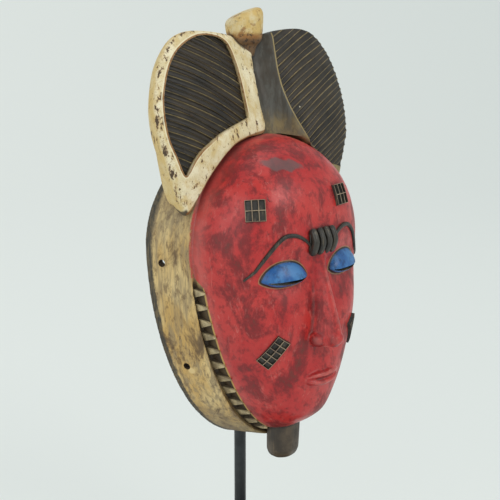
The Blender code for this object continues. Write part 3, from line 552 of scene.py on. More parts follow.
def finishFarLobe():
    f = Finish("dark lobe with strands", Roughness=0.5)
    crest, dip, hair, cavity = f.fact("crestOut"), f.fact("dip"), f.fact("hairDist"), f.fact("cavity")
    drop = f.fact("lobeDrop")
    wobble = (f.spots(90, 3, 0.6) - 0.5) * 2.0
    rough = (f.spots(480, 3, 0.7) - 0.5) * 2.0
    cloud = f.spots(34, 4, 0.6)
    patchy = f.spots(90, 5, 0.7, (1, 1, 0.7), (0.1, 0.6, 0.2), 0.3)
    streak = f.spots(200, 4, 0.6, (1, 1, 0.14), (0.4, 0, 0))
    plain = f.mix(f.step(streak, 0.40, 0.64), darkTints["strip"], darkTints["slate"])
    plain = f.mix(f.step(patchy, 0.42, 0.62) * 0.55, plain, darkTints["field"])
    # painted shade: the plain strip darkens in its creases
    plain = f.mix(f.step(cavity, 0.05, 0.25) * 0.8, plain, darkTints["deep"])
    low = f.step(hair + wobble * 4.0, 26.0, 4.0)
    plain = f.mix(low * (0.25 + 0.45 * f.step(patchy, 0.40, 0.60)), plain, darkTints["olive"])
    strands = f.mix(f.step(cloud, 0.38, 0.64), darkTints["field"], darkTints["deep"])
    strands = f.mix(f.step(patchy, 0.48, 0.66) * 0.6, strands, darkTints["strip"])
    ridge = f.step(dip + rough * 0.30 + wobble * 0.20, 0.48, 0.10)
    strands = f.mix(ridge * f.step(drop, 9.0, 4.0) * (0.50 + 0.45 * f.step(patchy, 0.60, 0.42)), strands,
                    darkTints["olive"])
    # painted shade in the bottoms of the carved strand grooves
    strands = f.mix(f.step(dip, 0.5, 1.2) * 0.6, strands, darkTints["deep"])
    colour = f.mix(f.step(crest, 0.0, 0.4), plain, strands)
    top = f.step(drop, 2.4, 1.2)
    colour = f.mix(f.step((crest - 0.3 + rough * 0.2).size(), 0.95, 0.45) * top * 0.85, colour, darkTints["olive"])
    edge = f.step(hair + wobble * 0.6 + rough * 0.5, 2.6, 1.0) * f.step(drop, 5.0, 2.0)
    colour = f.mix(edge * 0.75, colour, woodTints["grey"])
    colour = f.mix(edge * f.step(crest, 2.0, 8.0) * 0.6, colour, woodTints["gold"])
    chip = f.step(f.fact("chip") + rough * 0.25, 0.9, 0.5)
    colour = f.mix(chip, colour, creamTints["white"])
    f.feed("Base Color", colour)
    f.feed("Roughness", 0.48 + 0.14 * f.step(cloud, 0.35, 0.65))
    f.bump(streak * 0.4 + rough * 0.15 + patchy * 0.3, 0.55, 0.0006)
    return f.material


def finishKnob():
    f = Finish("cream knob", Roughness=0.58)
    cavity = f.fact("cavity")
    rough = (f.spots(480, 3, 0.7) - 0.5) * 2.0
    cloud = f.spots(70, 4, 0.6, shift=(0.1, 0.2, 0.3))
    blot = f.spots(90, 5, 0.7, shift=(0.55, 0.15, 0.35), warp=0.3)
    fleck = f.spots(320, 4, 0.7)
    height = f.add("ShaderNodeSeparateXYZ", {}, (f.coords,), 2)
    colour = f.mix(f.step(cloud, 0.38, 0.60), creamTints["clear"], creamTints["yellow"])
    colour = f.mix(f.step(blot + rough * 0.04, 0.52, 0.62) * 0.75, colour, creamTints["stain"])
    seat = place["lift"] + coiffure["top"]  # about where the knob meets the lobes
    low = f.step(height + rough * 0.003, seat + 0.002, seat - 0.0035)
    colour = f.mix(low * 0.85, colour, creamTints["stain"])
    colour = f.mix(f.step(height, seat - 0.0035, seat - 0.0075) * 0.8, colour, woodTints["brown"])
    colour = f.mix(f.step(fleck + low * 0.06 + f.step(blot, 0.50, 0.62) * 0.05, 0.62, 0.67) * 0.85, colour,
                   creamTints["fleck"])
    # painted shade: the knob darkens in its creases, in the fleck colour
    colour = f.mix(f.step(cavity, 0.10, 0.30) * 0.6, colour, creamTints["fleck"])
    f.feed("Base Color", colour)
    f.feed("Roughness", 0.52 + 0.15 * f.step(cloud, 0.35, 0.65))
    f.bump(f.step(fleck, 0.66, 0.60) * 0.5 + cloud * 0.5, 0.6, 0.0007)
    return f.material


def finishTeeth():
    f = Finish("worn teeth", Roughness=0.6)
    cavity = f.fact("cavity")
    rough = (f.spots(500, 3, 0.7) - 0.5) * 2.0
    cloud = f.spots(120, 4, 0.6)
    colour = f.mix(f.step(cloud, 0.40, 0.60), tint(142, 126, 98), tint(186, 168, 130))
    colour = f.mix(f.step(cavity + rough * 0.10, -0.45, -0.70) * 0.6, colour, woodTints["pale"])
    # painted shade between the teeth and at their feet in the groove
    colour = f.mix(f.step(cavity + rough * 0.06, 0.0, 0.26) * 0.85, colour, woodTints["dark"])
    f.feed("Base Color", colour)
    f.bump(cloud + rough * 0.2, 0.5, 0.0005)
    return f.material


def finishHollow():
    f = Finish("dark raw hollow", Roughness=0.8)
    height = f.spots(150, 4, 0.6, (1, 1, 0.10))
    gouge = f.cells(70, (1, 1, 0.45))
    colour = f.mix(f.step(height, 0.38, 0.66), tint(84, 62, 42), tint(122, 94, 62))
    colour = f.mix(f.step(gouge, 0.55, 0.85) * 0.5, colour, tint(56, 40, 28))
    f.feed("Base Color", colour)
    f.bump(height * 0.3 - gouge * 0.8, 0.6, 0.002)
    return f.material


def finishSteel(name):
    f = Finish(name, Metallic=0.35)
    cloud = f.spots(60, 4, 0.6)
    fine = f.spots(1400, 2, 0.6)
    colour = f.mix(f.step(cloud, 0.35, 0.65), tint(38, 40, 42), tint(52, 55, 57))
    f.feed("Base Color", colour)
    f.feed("Roughness", 0.34 + 0.14 * f.step(cloud, 0.3, 0.7))
    f.bump(fine, 0.25, 0.0002)
    return f.material


bodyFinish = finishBody()
nearFinish, farFinish, knobFinish = finishNearLobe(), finishFarLobe(), finishKnob()
beardFinish = darkWood("dark beard peg", tint(80, 66, 50), tint(50, 41, 32), tint(132, 110, 82), 0.5, -0.16)
blackFinish = darkWood("black raised marks", tint(52, 47, 40), tint(32, 29, 26), tint(156, 138, 108), 0.75, -0.52)
lineFinish = darkWood("worn lines of the scar blocks", tint(150, 132, 108), tint(112, 92, 76),
                      tint(170, 152, 126), 0.4)
toothFinish, hollowFinish = finishTeeth(), finishHollow()
say("finishes")


def bodyShell():
    back = eggLine(bandHalf, bandMid, bandMid, band["tall"] - bandMid)
    front = eggLine(bandHalf - band["flare"], bandMid, bandMid - face["low"] * 0.5, band["tall"] - bandMid,
                    face["taper"] * 0.2)
    edge = eggLine(faceHalf, faceMid, faceMid - face["low"], face["high"] - faceMid, face["taper"])
    inner = front * 0.45 + edge * 0.55
    deep = band["deep"]
    rings = []

    def ring(line, forward):
        rings.append(np.stack([line[:, 0], -forward + np.zeros(len(line)), line[:, 1]], 1))

    middle = np.array([0.0, bandMid])
    ring(middle + (back - middle) * 0.990, 0.0)
    ring(back, 0.0012)
    for k in range(1, 12):
        ring(back + (front - back) * k / 12, deep * k / 12)
    ring(front, deep - 0.0010)
    ring(middle + (front - middle) * 0.992, deep)
    sunk = face["groove"] * (0.12 + 0.88 * grooved(inner[:, 1]))
    ring(inner, deep - sunk)
    ring(edge, deep - sunk * 0.8)
    steps = 64
    for k in range(1, steps):
        s = 1 - (k / steps) ** 1.7
        line = np.stack([s * edge[:, 0], faceMid + s * (edge[:, 1] - faceMid)], 1)
        ring(line, faceDepth(line[:, 0], line[:, 1]))
    return ringShell(rings, endSpot=(0.0, -float(faceDepth(0.0, faceMid)), faceMid))


def grooved(z):  # 1 where the toothed groove runs, 0 above it
    top = toothSpots[-1][0][1] + 0.008
    t = np.clip((top + 0.006 - z) / 0.012, 0, 1)
    return t * t * (3 - 2 * t)


def findTeeth():  # each tooth's foot and its way along the edge, from the chin up
    line = eggLine(faceHalf, faceMid, faceMid - face["low"], face["high"] - faceMid, face["taper"], 720)[:361]
    travel = np.concatenate([[0.0], np.cumsum(np.linalg.norm(np.diff(line, axis=0), axis=1))])
    out = []
    for n in range(tooth["count"]):
        k = int(np.abs(travel - tooth["pitch"] * (n + 1.4)).argmin())
        along = line[k + 2] - line[k - 2]
        out.append((line[k], along / np.linalg.norm(along)))
    return out


toothSpots = findTeeth()


def toothShell(spot, along, side, number):  # a small pyramid that points forward
    outward = np.array([along[1], -along[0]])
    wide = tooth["pitch"] * 0.37 * (1 + 0.08 * math.sin(number * 2.3))
    foot = band["deep"] - face["groove"] - 0.002
    tip = band["deep"] + tooth["long"] - face["groove"] * 0.4 + 0.0008 * math.sin(number * 4.1)
    made = bmesh.new()
    bmesh.ops.create_cone(made, cap_ends=True, segments=4, radius1=1.0, radius2=0.12, depth=1.0)
    corners = ((-wide, 0.0042), (wide, 0.0042), (wide, -0.0070), (-wide, -0.0070))
    around = sorted(made.verts, key=lambda v: (math.atan2(v.co.y, v.co.x) + 0.4) % (2 * math.pi))
    low, high = [v for v in around if v.co.z < 0], [v for v in around if v.co.z > 0]
    for ring, forward, share in ((low, foot, 1.0), (high, tip, 0.14)):
        for vert, (a, o) in zip(ring, corners):
            q = spot + along * a * share + outward * (0.0012 + (o - 0.0012) * share)
            vert.co = (side * q[0], -forward, q[1])
    bmesh.ops.recalc_face_normals(made, faces=made.faces)
    bmesh.ops.bevel(made, geom=made.edges[:], offset=0.0003, offset_type="OFFSET", affect="EDGES",
                    segments=1, profile=0.5, material=-1, clamp_overlap=True)
    bmesh.ops.triangulate(made, faces=made.faces[:])
    return made


noseLevels = smoothLine(((1.02, 0.15, 0.02), (0.90, 0.17, 0.22), (0.70, 0.20, 0.44), (0.48, 0.24, 0.66),
                         (0.28, 0.30, 0.88), (0.15, 0.37, 1.0), (0.06, 0.40, 0.98), (0.0, 0.34, 0.80)), 5, False)
noseSection = smoothLine(((-1.0, -0.3), (-0.95, 0.10), (-0.72, 0.48), (-0.40, 0.84), (0.0, 1.0),
                          (0.40, 0.84), (0.72, 0.48), (0.95, 0.10), (1.0, -0.3)), 3, False)


def noseShell():
    rings = []
    for up, wide, out in noseLevels:
        z = noseZ + (browZ - noseZ) * up
        x = faceHalf * 0.40 * wide * noseSection[:, 0]
        rise = np.where(noseSection[:, 1] < 0, noseSection[:, 1] * 0.04, noseSection[:, 1] * face["noseOut"] * out)
        rings.append(np.stack([x, -(faceDepth(x, z) + rise), z + x * 0], 1))
    return ringShell(rings)


def lipShell():  # both lips in one closed piece, from corner to corner
    rings = []
    half = face["eyeWide"] * 0.50
    for k in range(41):
        t = -1 + 2 * k / 40
        x = half * t
        body = max(1 - abs(t) ** 2.3, 0.0)
        part = mouthZ + 0.0012 * t * t
        upTall = 0.0012 + 0.0068 * body ** 0.75 - 0.0013 * math.exp(-(t / 0.17) ** 2)
        lowTall = 0.0012 + 0.0072 * body ** 0.85
        upOut, lowOut = 0.0002 + 0.0056 * body ** 0.7, 0.0002 + 0.0062 * body ** 0.75
        spots = []
        for j in range(9):
            a = j / 8
            out = max(math.sin(math.pi * a) ** 0.75, 0.18 * a) * upOut
            spots.append((out, part + upTall * (1 - a)))
        for j in range(1, 9):
            a = j / 8
            out = max(math.sin(math.pi * a) ** 0.75, 0.18 * (1 - a)) * lowOut
            spots.append((out, part - lowTall * a))
        deep = float(faceDepth(x, part)) - 0.008
        ring = [(x, -(float(faceDepth(x, z)) + out), z) for out, z in spots]
        ring += [(x, -deep, part - lowTall), (x, -deep, part + upTall)]
        rings.append(np.array(ring))
    return ringShell(rings)


def lidLines(u):  # heights of the crease, the slit and the lower rim, u from -1 to 1 across the eye
    body = np.maximum(1 - np.abs(u) ** 2.3, 0.0)
    corner = eyeZ - 0.0030
    return corner + 0.0150 * body ** 0.72, corner - 0.0024 * body, corner - 0.0068 * body ** 0.85


def lidShell(side):  # a domed upper lid over a thin lower one, closed behind
    rings = []
    for k in range(45):
        u = 0.985 * (-1 + 2 * k / 44)
        x = side * eyeX + u * face["eyeWide"] / 2
        crease, slit, rim = (float(v) for v in lidLines(u))
        dome = 0.0105 * (1 - u * u) ** 0.62
        spots = []
        for j in range(11):
            v = j / 10
            spots.append((0.0006 + dome * math.sin(math.pi / 2 * min(1.0, v * 1.12)) ** 0.85,
                          crease + (slit - crease) * v))
        for j in range(8):
            v = j / 7
            spots.append((0.0006 + dome * (0.90 - 0.12 * v - 0.50 * v ** 3), slit + (rim - slit) * v - 0.00002))
        deep = float(faceDepth(x, eyeZ)) - 0.008
        ring = [(x, -(float(faceDepth(x, z)) + out), z) for out, z in spots]
        ring += [(x, -deep, rim), (x, -deep, crease)]
        rings.append(np.array(ring))
    return ringShell(rings)


def makeBody():
    pieces = [bodyShell(), noseShell(), lipShell()]
    for side in (-1, 1):
        pieces.append(lidShell(side))
        x, z = side * faceHalf * 0.118, noseZ + 0.0075
        pieces.append(ball((x, -(float(faceDepth(x, z)) + 0.0040), z), (0.0068, 0.0092, 0.0062)))
    tip = float(faceDepth(0, noseZ + 0.009)) + face["noseOut"] * 0.68
    pieces.append(ball((0, -tip, noseZ + 0.0082), (0.0086, 0.0088, 0.0072)))
    body = makeObject("body", pour(pieces), bodyFinish)
    fuse = body.modifiers.new("fuse", "REMESH")
    fuse.mode = "VOXEL"
    fuse.voxel_size = face["voxel"] * 1.0
    ease = body.modifiers.new("ease", "SMOOTH")
    ease.factor = 0.5
    ease.iterations = 3
    settle(body)
    roughen(body.data, face["uneven"], face["unevenPace"])
    ratio = face["triangles"] / (2 * len(body.data.polygons))
    if ratio < 1:
        thin = body.modifiers.new("thin", "DECIMATE")
        thin.ratio = ratio
        settle(body)
    return body


def roughen(mesh, reach, pace):  # the slight unevenness that the blade left
    spots = np.empty(len(mesh.vertices) * 3)
    outward = np.empty(len(mesh.vertices) * 3)
    mesh.vertices.foreach_get("co", spots)
    mesh.vertex_normals.foreach_get("vector", outward)
    spots, outward = spots.reshape(-1, 3), outward.reshape(-1, 3)
    lift = np.array([noise.noise(Vector(p) * pace) + 0.5 * noise.noise(Vector(p) * pace * 2.7) for p in spots])
    spots += outward * (lift * reach)[:, None]
    mesh.vertices.foreach_set("co", spots.reshape(-1))
    mesh.update()


def hollowShell():
    count = 120
    back = eggLine(bandHalf - band["wall"], bandMid, bandMid - band["wall"], band["tall"] - bandMid - band["wall"],
                   0.0, count)
    edge = eggLine(faceHalf, faceMid, faceMid - face["low"], face["high"] - faceMid, face["taper"], count)
    shrink = 1 - (band["wall"] + 0.002) / faceHalf
    middle = np.array([0.0, bandMid])
    wide = middle + (back - middle) * 1.02
    rings = [np.stack([wide[:, 0], 0.008 + np.zeros(count), wide[:, 1]], 1)]
    for s in (1.0, 0.97, 0.92, 0.85, 0.77, 0.67, 0.56, 0.43, 0.29, 0.14):
        x, z = s * edge[:, 0], faceMid + s * (edge[:, 1] - faceMid)
        depth = faceDepth(x, z) - face["wall"] - 0.001
        rings.append(np.stack([x * shrink, -depth, faceMid + (z - faceMid) * shrink], 1))
    made = ringShell(rings, endSpot=(0.0, -float(faceDepth(0.0, faceMid)) + face["wall"], faceMid))
    cut = bmesh.ops.bisect_plane(made, geom=made.verts[:] + made.edges[:] + made.faces[:],
                                 plane_co=(0, 0, face["high"] * ceilingShare), plane_no=(0, 0, 1), clear_outer=True)
    edges = [e for e in cut["geom_cut"] if isinstance(e, bmesh.types.BMEdge)]
    bmesh.ops.contextual_create(made, geom=edges)
    bmesh.ops.triangulate(made, faces=made.faces[:])
    bmesh.ops.recalc_face_normals(made, faces=made.faces)
    return made


def slitShell(side):
    rings = []
    for k in range(25):
        t = -1 + 2 * k / 24
        x = side * eyeX + t * face["eyeWide"] * 0.41
        mid = float(lidLines(t * 0.82)[1]) - 0.0004
        half = face["slitTall"] / 2 * (1 - 0.78 * t * t)
        rings.append([(x, -0.14, mid - half), (x, -0.14, mid + half), (x, -0.03, mid + half),
                      (x, -0.03, mid - half)])
    return ringShell(rings)


def holeShells():
    out = []
    for share, deep in hole["spots"]:
        z = band["tall"] * share
        at = bandHalf * math.sqrt(max(0.05, 1 - ((z - bandMid) / bandMid) ** 2))
        for side in (-1, 1):
            drill = bmesh.new()
            bmesh.ops.create_cone(drill, cap_ends=True, segments=28, radius1=hole["wide"] / 2,
                                  radius2=hole["wide"] / 2, depth=0.07)
            bmesh.ops.rotate(drill, verts=drill.verts, matrix=Matrix.Rotation(math.pi / 2, 3, "Y"))
            bmesh.ops.rotate(drill, verts=drill.verts, matrix=Matrix.Rotation(-side * hole["slant"], 3, "Z"))
            bmesh.ops.translate(drill, verts=drill.verts, vec=(side * (at - 0.005), -deep, z))
            bmesh.ops.triangulate(drill, faces=drill.faces[:])
            out.append(drill)
    return out


def lobeFront(x, z):
    lean = coiffure["lean"] * np.maximum(0.0, z - face["high"] * 0.97)
    across = (np.abs(x) - lobeHalf * 0.50) / (lobeHalf * 0.56)
    along = (z - lobeMid) / (hairTall * 0.9)
    roll = coiffure["roll"] * np.maximum(0.0, (np.abs(x) / lobeHalf - 0.6) / 0.4) ** 2
    return coiffure["front"] - lean - roll + coiffure["bulge"] * np.maximum(0.0, 1 - across ** 2 - along ** 2)


def lobePoint(across, up):
    return (lobeHalf * across, face["high"] + hairTall * up)


# Outlines of a lobe, of its dark field and of the far lobe's crest: shares of width and height
lobeOutline = ((-0.014, 0.88), (0.19, 0.97), (0.46, 1.012), (0.64, 0.995), (0.77, 0.905), (0.90, 0.68),
               (0.975, 0.36), (0.985, 0.10), (0.955, -0.13), (0.905, -0.35), (0.845, -0.56), (0.795, -0.675),
               (0.715, -0.56), (0.59, -0.33), (0.395, -0.105), (0.20, -0.02), (-0.014, 0.015), (-0.014, 0.30),
               (-0.014, 0.60))
# how far each point of the first takes part in the lower side's reach into the band
lowSide = (0,) * 9 + (0.25, 0.6, 1, 1, 1, 1, 1, 1, 0, 0)
fieldOutline = ((0.255, 0.90), (0.335, 0.955), (0.47, 0.972), (0.585, 0.94), (0.70, 0.865), (0.79, 0.755),
                (0.86, 0.60), (0.912, 0.41), (0.928, 0.22), (0.918, 0.03), (0.868, -0.165), (0.815, -0.30),
                (0.76, -0.195), (0.70, -0.10), (0.60, -0.018), (0.50, 0.048), (0.375, 0.103), (0.205, 0.165),
                (0.183, 0.20), (0.187, 0.36), (0.194, 0.594), (0.215, 0.78))
crestOutline = ((0.27, 1.10), (0.247, 0.953), (0.228, 0.80), (0.214, 0.60), (0.225, 0.42), (0.27, 0.23),
                (0.35, 0.03), (0.45, -0.16), (0.56, -0.34))
fieldLine = smoothLine([lobePoint(*p) for p in fieldOutline], 4, True)
crestLine = smoothLine([lobePoint(*p) for p in crestOutline], 6, False)
hairLine = smoothLine([lobePoint(*p) for p in lobeOutline[11:17]], 8, False)


def lobeShell(side):
    far = side > 0
    shares = list(lobeOutline)
    if far:
        shares[0] = (-0.032, 0.855)
        shares[-3:] = [(-0.032, 0.0), (-0.032, 0.30), (-0.032, 0.60)]
    line = smoothLine([(*lobePoint(*p), low) for p, low in zip(shares, lowSide)], 9, True)
    x, z, low = line[:, 0], line[:, 1], np.clip(line[:, 2], 0, 1)
    middle = lobePoint(0.50, 0.32)
    # size of each ring and how far forward it lies, from the back to the front
    profile = smoothLine(((0.52, 0.03), (0.62, 0.13), (0.75, 0.29), (0.875, 0.47), (0.962, 0.66),
                          (0.997, 0.82), (1.0, 0.89), (0.99, 0.94), (0.965, 0.972), (0.93, 0.99),
                          (0.86, 1.0), (0.62, 1.0)), 4, False)
    rings = []
    for scale, share in list(profile) + [(0.5, 1.0), (0.38, 1.0), (0.26, 1.0), (0.13, 1.0)]:
        # the parting side moves less, and at the back the lower side reaches down into the band
        isBack = share < 0.9
        hold = 1 - (1 - scale) * (coiffure["partingHold"] if isBack else 1.0)
        px = middle[0] + (x - middle[0]) * np.where(x > middle[0], scale, hold)
        pz = middle[1] + (z - middle[1]) * scale
        top = bandMid + (band["tall"] - bandMid) * np.sqrt(np.maximum(0.0, 1 - (px / bandHalf) ** 2)) - 0.003
        pz = pz + isBack * low * np.clip((0.985 - scale) / 0.06, 0, 1) * np.minimum(0.0, top - pz)
        front = lobeFront(px, pz)
        if far:
            front = front - 0.0045 * np.exp(-(px / 0.014) ** 2)
        rings.append(np.stack([side * px, -front * share, pz], 1))
    return ringShell(rings, endSpot=(side * middle[0], -float(lobeFront(*middle)), middle[1]))


def strandSlab(side, pitch):  # everything in front of the carved strands of one lobe
    swingX, swingZ = lobeHalf * 1.84, lobeMid - hairTall * 3.15
    near, columns = 0.225, 48
    shape = ((0.0, 0.0), (0.10, 0.50), (0.26, 0.90), (0.5, 1.0), (0.74, 0.90), (0.90, 0.50))
    rows = []
    for r in range(int((0.430 - near) / pitch)):
        for share, dip in shape:
            row = []
            for c in range(columns + 1):
                t = math.radians(6 + 46 * c / columns)
                wave = 0.00040 * math.sin(16 * t + 1.9 * r) + 0.00030 * math.sin(31 * t + 0.7 * r)
                radius = near + (r + share) * pitch + wave
                deep = coiffure["cut"] * dip * (1 + 0.22 * math.sin(11 * t + 2.6 * r))
                x, z = swingX - radius * math.sin(t), swingZ + radius * math.cos(t)
                row.append((side * x, -float(lobeFront(x, z)) + coiffure["sink"] + deep, z))
            rows.append(row)
    return gridSlab(rows, 0.09)


def prismShell(line, side, near, far):
    return ringShell([[(side * x, -forward, z) for x, z in line] for forward in (near, far)])


def valleyShell():  # the plain hollow strip beside the parting
    rows = []
    for x, z in crestLine:
        low = 0.0008
        foot, top = float(lobeFront(low, z)) - 0.005, float(lobeFront(x, z))
        row = []
        for k in range(21):
            t = k / 20
            sag = 0.0055 * math.sin(math.pi * min(1.0, t * 1.1)) if t < 0.909 else 0.0
            row.append((low + (x - low) * t, -(foot + (top - foot) * t - sag), z))
        rows.append(row)
    return gridSlab(rows, 0.09)


def makeLobes():
    near = makeObject("near", lobeShell(-1), nearFinish)
    strands = makeObject("strands", strandSlab(-1, coiffure["nearPitch"]), nearFinish)
    combine(strands, makeObject("field", prismShell(fieldLine, -1, 0.012, 0.085), nearFinish), "INTERSECT")
    combine(near, strands, "DIFFERENCE")
    far = makeObject("far", lobeShell(1), farFinish)
    strands = makeObject("strands", strandSlab(1, coiffure["farPitch"]), farFinish)
    outer = [(x + coiffure["ridge"], z) for x, z in crestLine] + [lobePoint(1.3, -0.60), lobePoint(1.3, 1.2)]
    combine(strands, makeObject("field", prismShell(outer, 1, 0.012, 0.085), farFinish), "INTERSECT")
    combine(far, strands, "DIFFERENCE")
    combine(far, makeObject("valley", valleyShell(), farFinish), "DIFFERENCE")
    return near, far


def knobShell():
    levels = smoothLine(((-0.014, 0.45, 0.35), (-0.006, 0.60, 0.50), (-0.0025, 0.78, 0.74), (0.0005, 0.87, 0.85),
                         (0.004, 0.91, 0.90), (0.011, 0.97, 0.96), (0.018, 1.0, 1.0), (0.0225, 0.98, 0.98),
                         (0.0258, 0.87, 0.87), (0.0278, 0.63, 0.63), (0.0285, 0.30, 0.30)), 5, False)
    foot = coiffure["top"] - 0.008
    tall = (knobSize["top"] - foot) / 0.0285
    t = 2 * np.pi * (np.arange(56) + 0.5) / 56
    rings = []
    for up, wide, deep in levels:
        x = knobSize["wide"] / 2 * wide * np.cos(t) * (1 + 0.012 * np.cos(5 * t))
        y = knobSize["wide"] / 2 * 0.80 * deep * np.sin(t) * (1 + 0.012 * np.cos(5 * t))
        slant = (0.30 * x - 0.12 * y - 0.0035) * max(0.0, up) / 0.0285
        rings.append(np.stack([x, y - knobSize["forward"], foot + up * tall + slant], 1))
    top = rings[-1].mean(0) + (0, 0, 0.0002)
    return ringShell(rings, endSpot=top)


def beardShell():
    levels = smoothLine(((0.0, 0.40), (0.0012, 0.62), (0.0035, 0.82), (0.008, 0.95), (0.015, 1.0),
                         (faceUp(0.10) - beardSize["end"], 1.04)), 5, False)
    t = 2 * np.pi * (np.arange(48) + 0.5) / 48
    facet = 1 + 0.018 * np.cos(7 * t + 0.6)
    rings = []
    for up, scale in levels:
        x = beardSize["wide"] / 2 * scale * np.cos(t) * facet
        y = beardSize["wide"] / 2 * scale * 0.95 * np.sin(t) * facet
        rings.append(np.stack([x, y - beardSize["forward"] - up * 0.1, beardSize["end"] + up + x * 0], 1))
    start = rings[0].mean(0) - (0, 0, 0.0003)
    return ringShell(rings, startSpot=start)


def barShell(path, across, rise, sides=12, power=2.0):  # a closed bar along (point, outward) pairs
    rings = []
    last = len(path) - 1
    for i, (point, outward) in enumerate(path):
        along = path[min(i + 1, last)][0] - path[max(i - 1, 0)][0]
        along = along / np.linalg.norm(along)
        level = np.cross(outward, along)
        level = level / np.linalg.norm(level)
        lift = np.cross(along, level)
        ring = []
        for k in range(sides):
            t = 2 * math.pi * (k + 0.5) / sides
            c, s = math.cos(t), math.sin(t)
            big = (abs(c) ** power + abs(s) ** power) ** (-1 / power)
            ring.append(point + level * c * big * across[i] + lift * s * big * rise[i])
        rings.append(np.array(ring))
    return ringShell(rings)


def browShell(side):
    path, across, rise = [], [], []
    for k in range(33):
        t = k / 32
        x = faceHalf * (0.13 + 0.66 * t)
        z = browZ - 0.004 + faceTall * 0.052 * math.sin(math.pi * min(1.0, t * 1.15) ** 0.85)
        z -= faceTall * 0.075 * max(0.0, t - 0.45) ** 1.6 / 0.55 ** 1.6
        point, _, _, outward = onFace(side * x, z, 0.0002)
        path.append((point, outward))
        ends = 1 - 0.55 * abs(2 * t - 1) ** 3
        across.append(0.0019 * ends)
        rise.append(0.0021 * ends)
    return barShell(path, across, rise, 12, 2.6)


def ribShell(number):
    x = (number - 1.5) * 0.0078
    path, across, rise = [], [], []
    for k in range(17):
        t = -1 + k / 8
        z = browZ + 0.002 + t * 0.0108
        point, _, _, outward = onFace(x, z, 0.0016 + 0.0030 * (1 - abs(t) ** 1.2))
        path.append((point, outward))
        end = 0.72 if abs(t) == 1 else (0.92 if abs(t) > 0.85 else 1.0)
        across.append(0.0031 * end)
        rise.append(0.0032 * end)
    return barShell(path, across, rise, 16, 3.2)


def padShell():
    rings = []
    for out in (-0.006, 0.0010, 0.0016):
        ring = []
        wide = 0.0152 if out < 0.0013 else 0.0146
        for k in range(40):
            t = 2 * math.pi * (k + 0.5) / 40
            c, s = math.cos(t), math.sin(t)
            big = (abs(c) ** 6 + abs(s) ** 6) ** (-1 / 6)
            ring.append(onFace(c * big * wide, browZ + 0.002 + s * big * wide * 0.70, out)[0])
        rings.append(np.array(ring))
    low, high = onFace(0.0, browZ + 0.002, -0.006)[0], onFace(0.0, browZ + 0.002, 0.0016)[0]
    return ringShell(rings, startSpot=low, endSpot=high)


def blockShell(x, z, turn, wide, tall, columns, rows):
    # a grid of cells, each inset and sunk between raised lines, drawn down into the wood and bent onto the face
    centre, across, upward, outward = onFace(x, z)
    c, s = math.cos(turn), math.sin(turn)
    across, upward = across * c + upward * s, upward * c - across * s
    made = bmesh.new()
    bmesh.ops.create_grid(made, x_segments=columns, y_segments=rows, size=0.5)
    bmesh.ops.scale(made, vec=(wide, tall, 1.0), verts=made.verts)
    for vert in made.verts:
        vert.co.z = block["proud"]
    cells = made.faces[:]
    bmesh.ops.inset_individual(made, faces=cells, thickness=block["gap"] / 2, depth=0.0)
    walls = bmesh.ops.inset_individual(made, faces=cells, thickness=0.0005, depth=0.0)["faces"]
    for cell in cells:
        for vert in cell.verts:
            vert.co.z = block["proud"] - block["sink"]
    for item in cells + walls:
        item.material_index = 1
    grown = bmesh.ops.extrude_face_region(made, geom=made.faces[:])["geom"]
    for item in grown:
        if isinstance(item, bmesh.types.BMVert):
            item.co.z = -0.005
        if isinstance(item, bmesh.types.BMFace):
            item.material_index = 1
    for item in made.faces:
        if abs(item.normal.z) < 0.3 and item.calc_area() > 0:
            item.material_index = 1
    for vert in made.verts:
        u, v, lift = vert.co
        step = across * u + upward * v
        fall = 0.0
        if lift > 0:
            ahead = float(faceDepth(x, z)) - float(faceDepth(x + step[0], z + step[2]))
            offset = np.array([step[0], ahead, step[2]])
            fall = -float(np.dot(offset, outward)) * 0.9
        vert.co = centre + step + outward * (lift - fall)
    bmesh.ops.triangulate(made, faces=made.faces[:])
    bmesh.ops.recalc_face_normals(made, faces=made.faces)
    return made


def blockObject(name, *sizes):
    made = makeObject(name, blockShell(*sizes), lineFinish)
    made.data.materials.append(blackFinish)
    return made


def makeMask():
    body = makeBody()
    say("body, %d triangles" % len(body.data.polygons))
    near, far = makeLobes()
    say("lobes, %d and %d faces" % (len(near.data.polygons), len(far.data.polygons)))
    combine(body, near, "UNION")
    combine(body, far, "UNION")
    combine(body, makeObject("knob", knobShell(), knobFinish), "UNION")
    combine(body, makeObject("beard", beardShell(), beardFinish), "UNION")
    for side in (-1, 1):
        combine(body, makeObject("brow", browShell(side), blackFinish), "UNION")
    combine(body, makeObject("pad", padShell(), blackFinish), "UNION")
    for number in range(4):
        combine(body, makeObject("rib", ribShell(number), blackFinish), "UNION")
    for x, z in block["spots"]:
        sizes = (faceHalf * x, faceUp(z), 0.0, block["wide"], block["tall"], 3, 2)
        combine(body, blockObject("forehead block", *sizes), "UNION")
    for side in (-1, 1):
        x, z = side * faceHalf * block["cheek"][0], faceUp(block["cheek"][1])
        sizes = (x, z, -side * block["turn"], block["wide"] * 1.75, block["tall"] * 0.72, 5, 2)
        combine(body, blockObject("cheek block", *sizes), "UNION")
        for n, (spot, along) in enumerate(toothSpots):
            combine(body, makeObject("tooth", toothShell(spot, along, side, n), toothFinish), "UNION")
    combine(body, makeObject("hollow", hollowShell(), hollowFinish), "DIFFERENCE")
    for side in (-1, 1):
        combine(body, makeObject("slit", slitShell(side), blackFinish), "DIFFERENCE")
        x, z = side * 0.0058, noseZ - 0.0008
        nostril = ball((x, -(float(faceDepth(x, z)) + face["noseOut"] * 0.42), z), (0.0030, 0.0058, 0.0034), 24)
        combine(body, makeObject("nostril", nostril, bodyFinish), "DIFFERENCE")
    for drill in holeShells():
        combine(body, makeObject("drill", drill, hollowFinish), "DIFFERENCE")
    return body


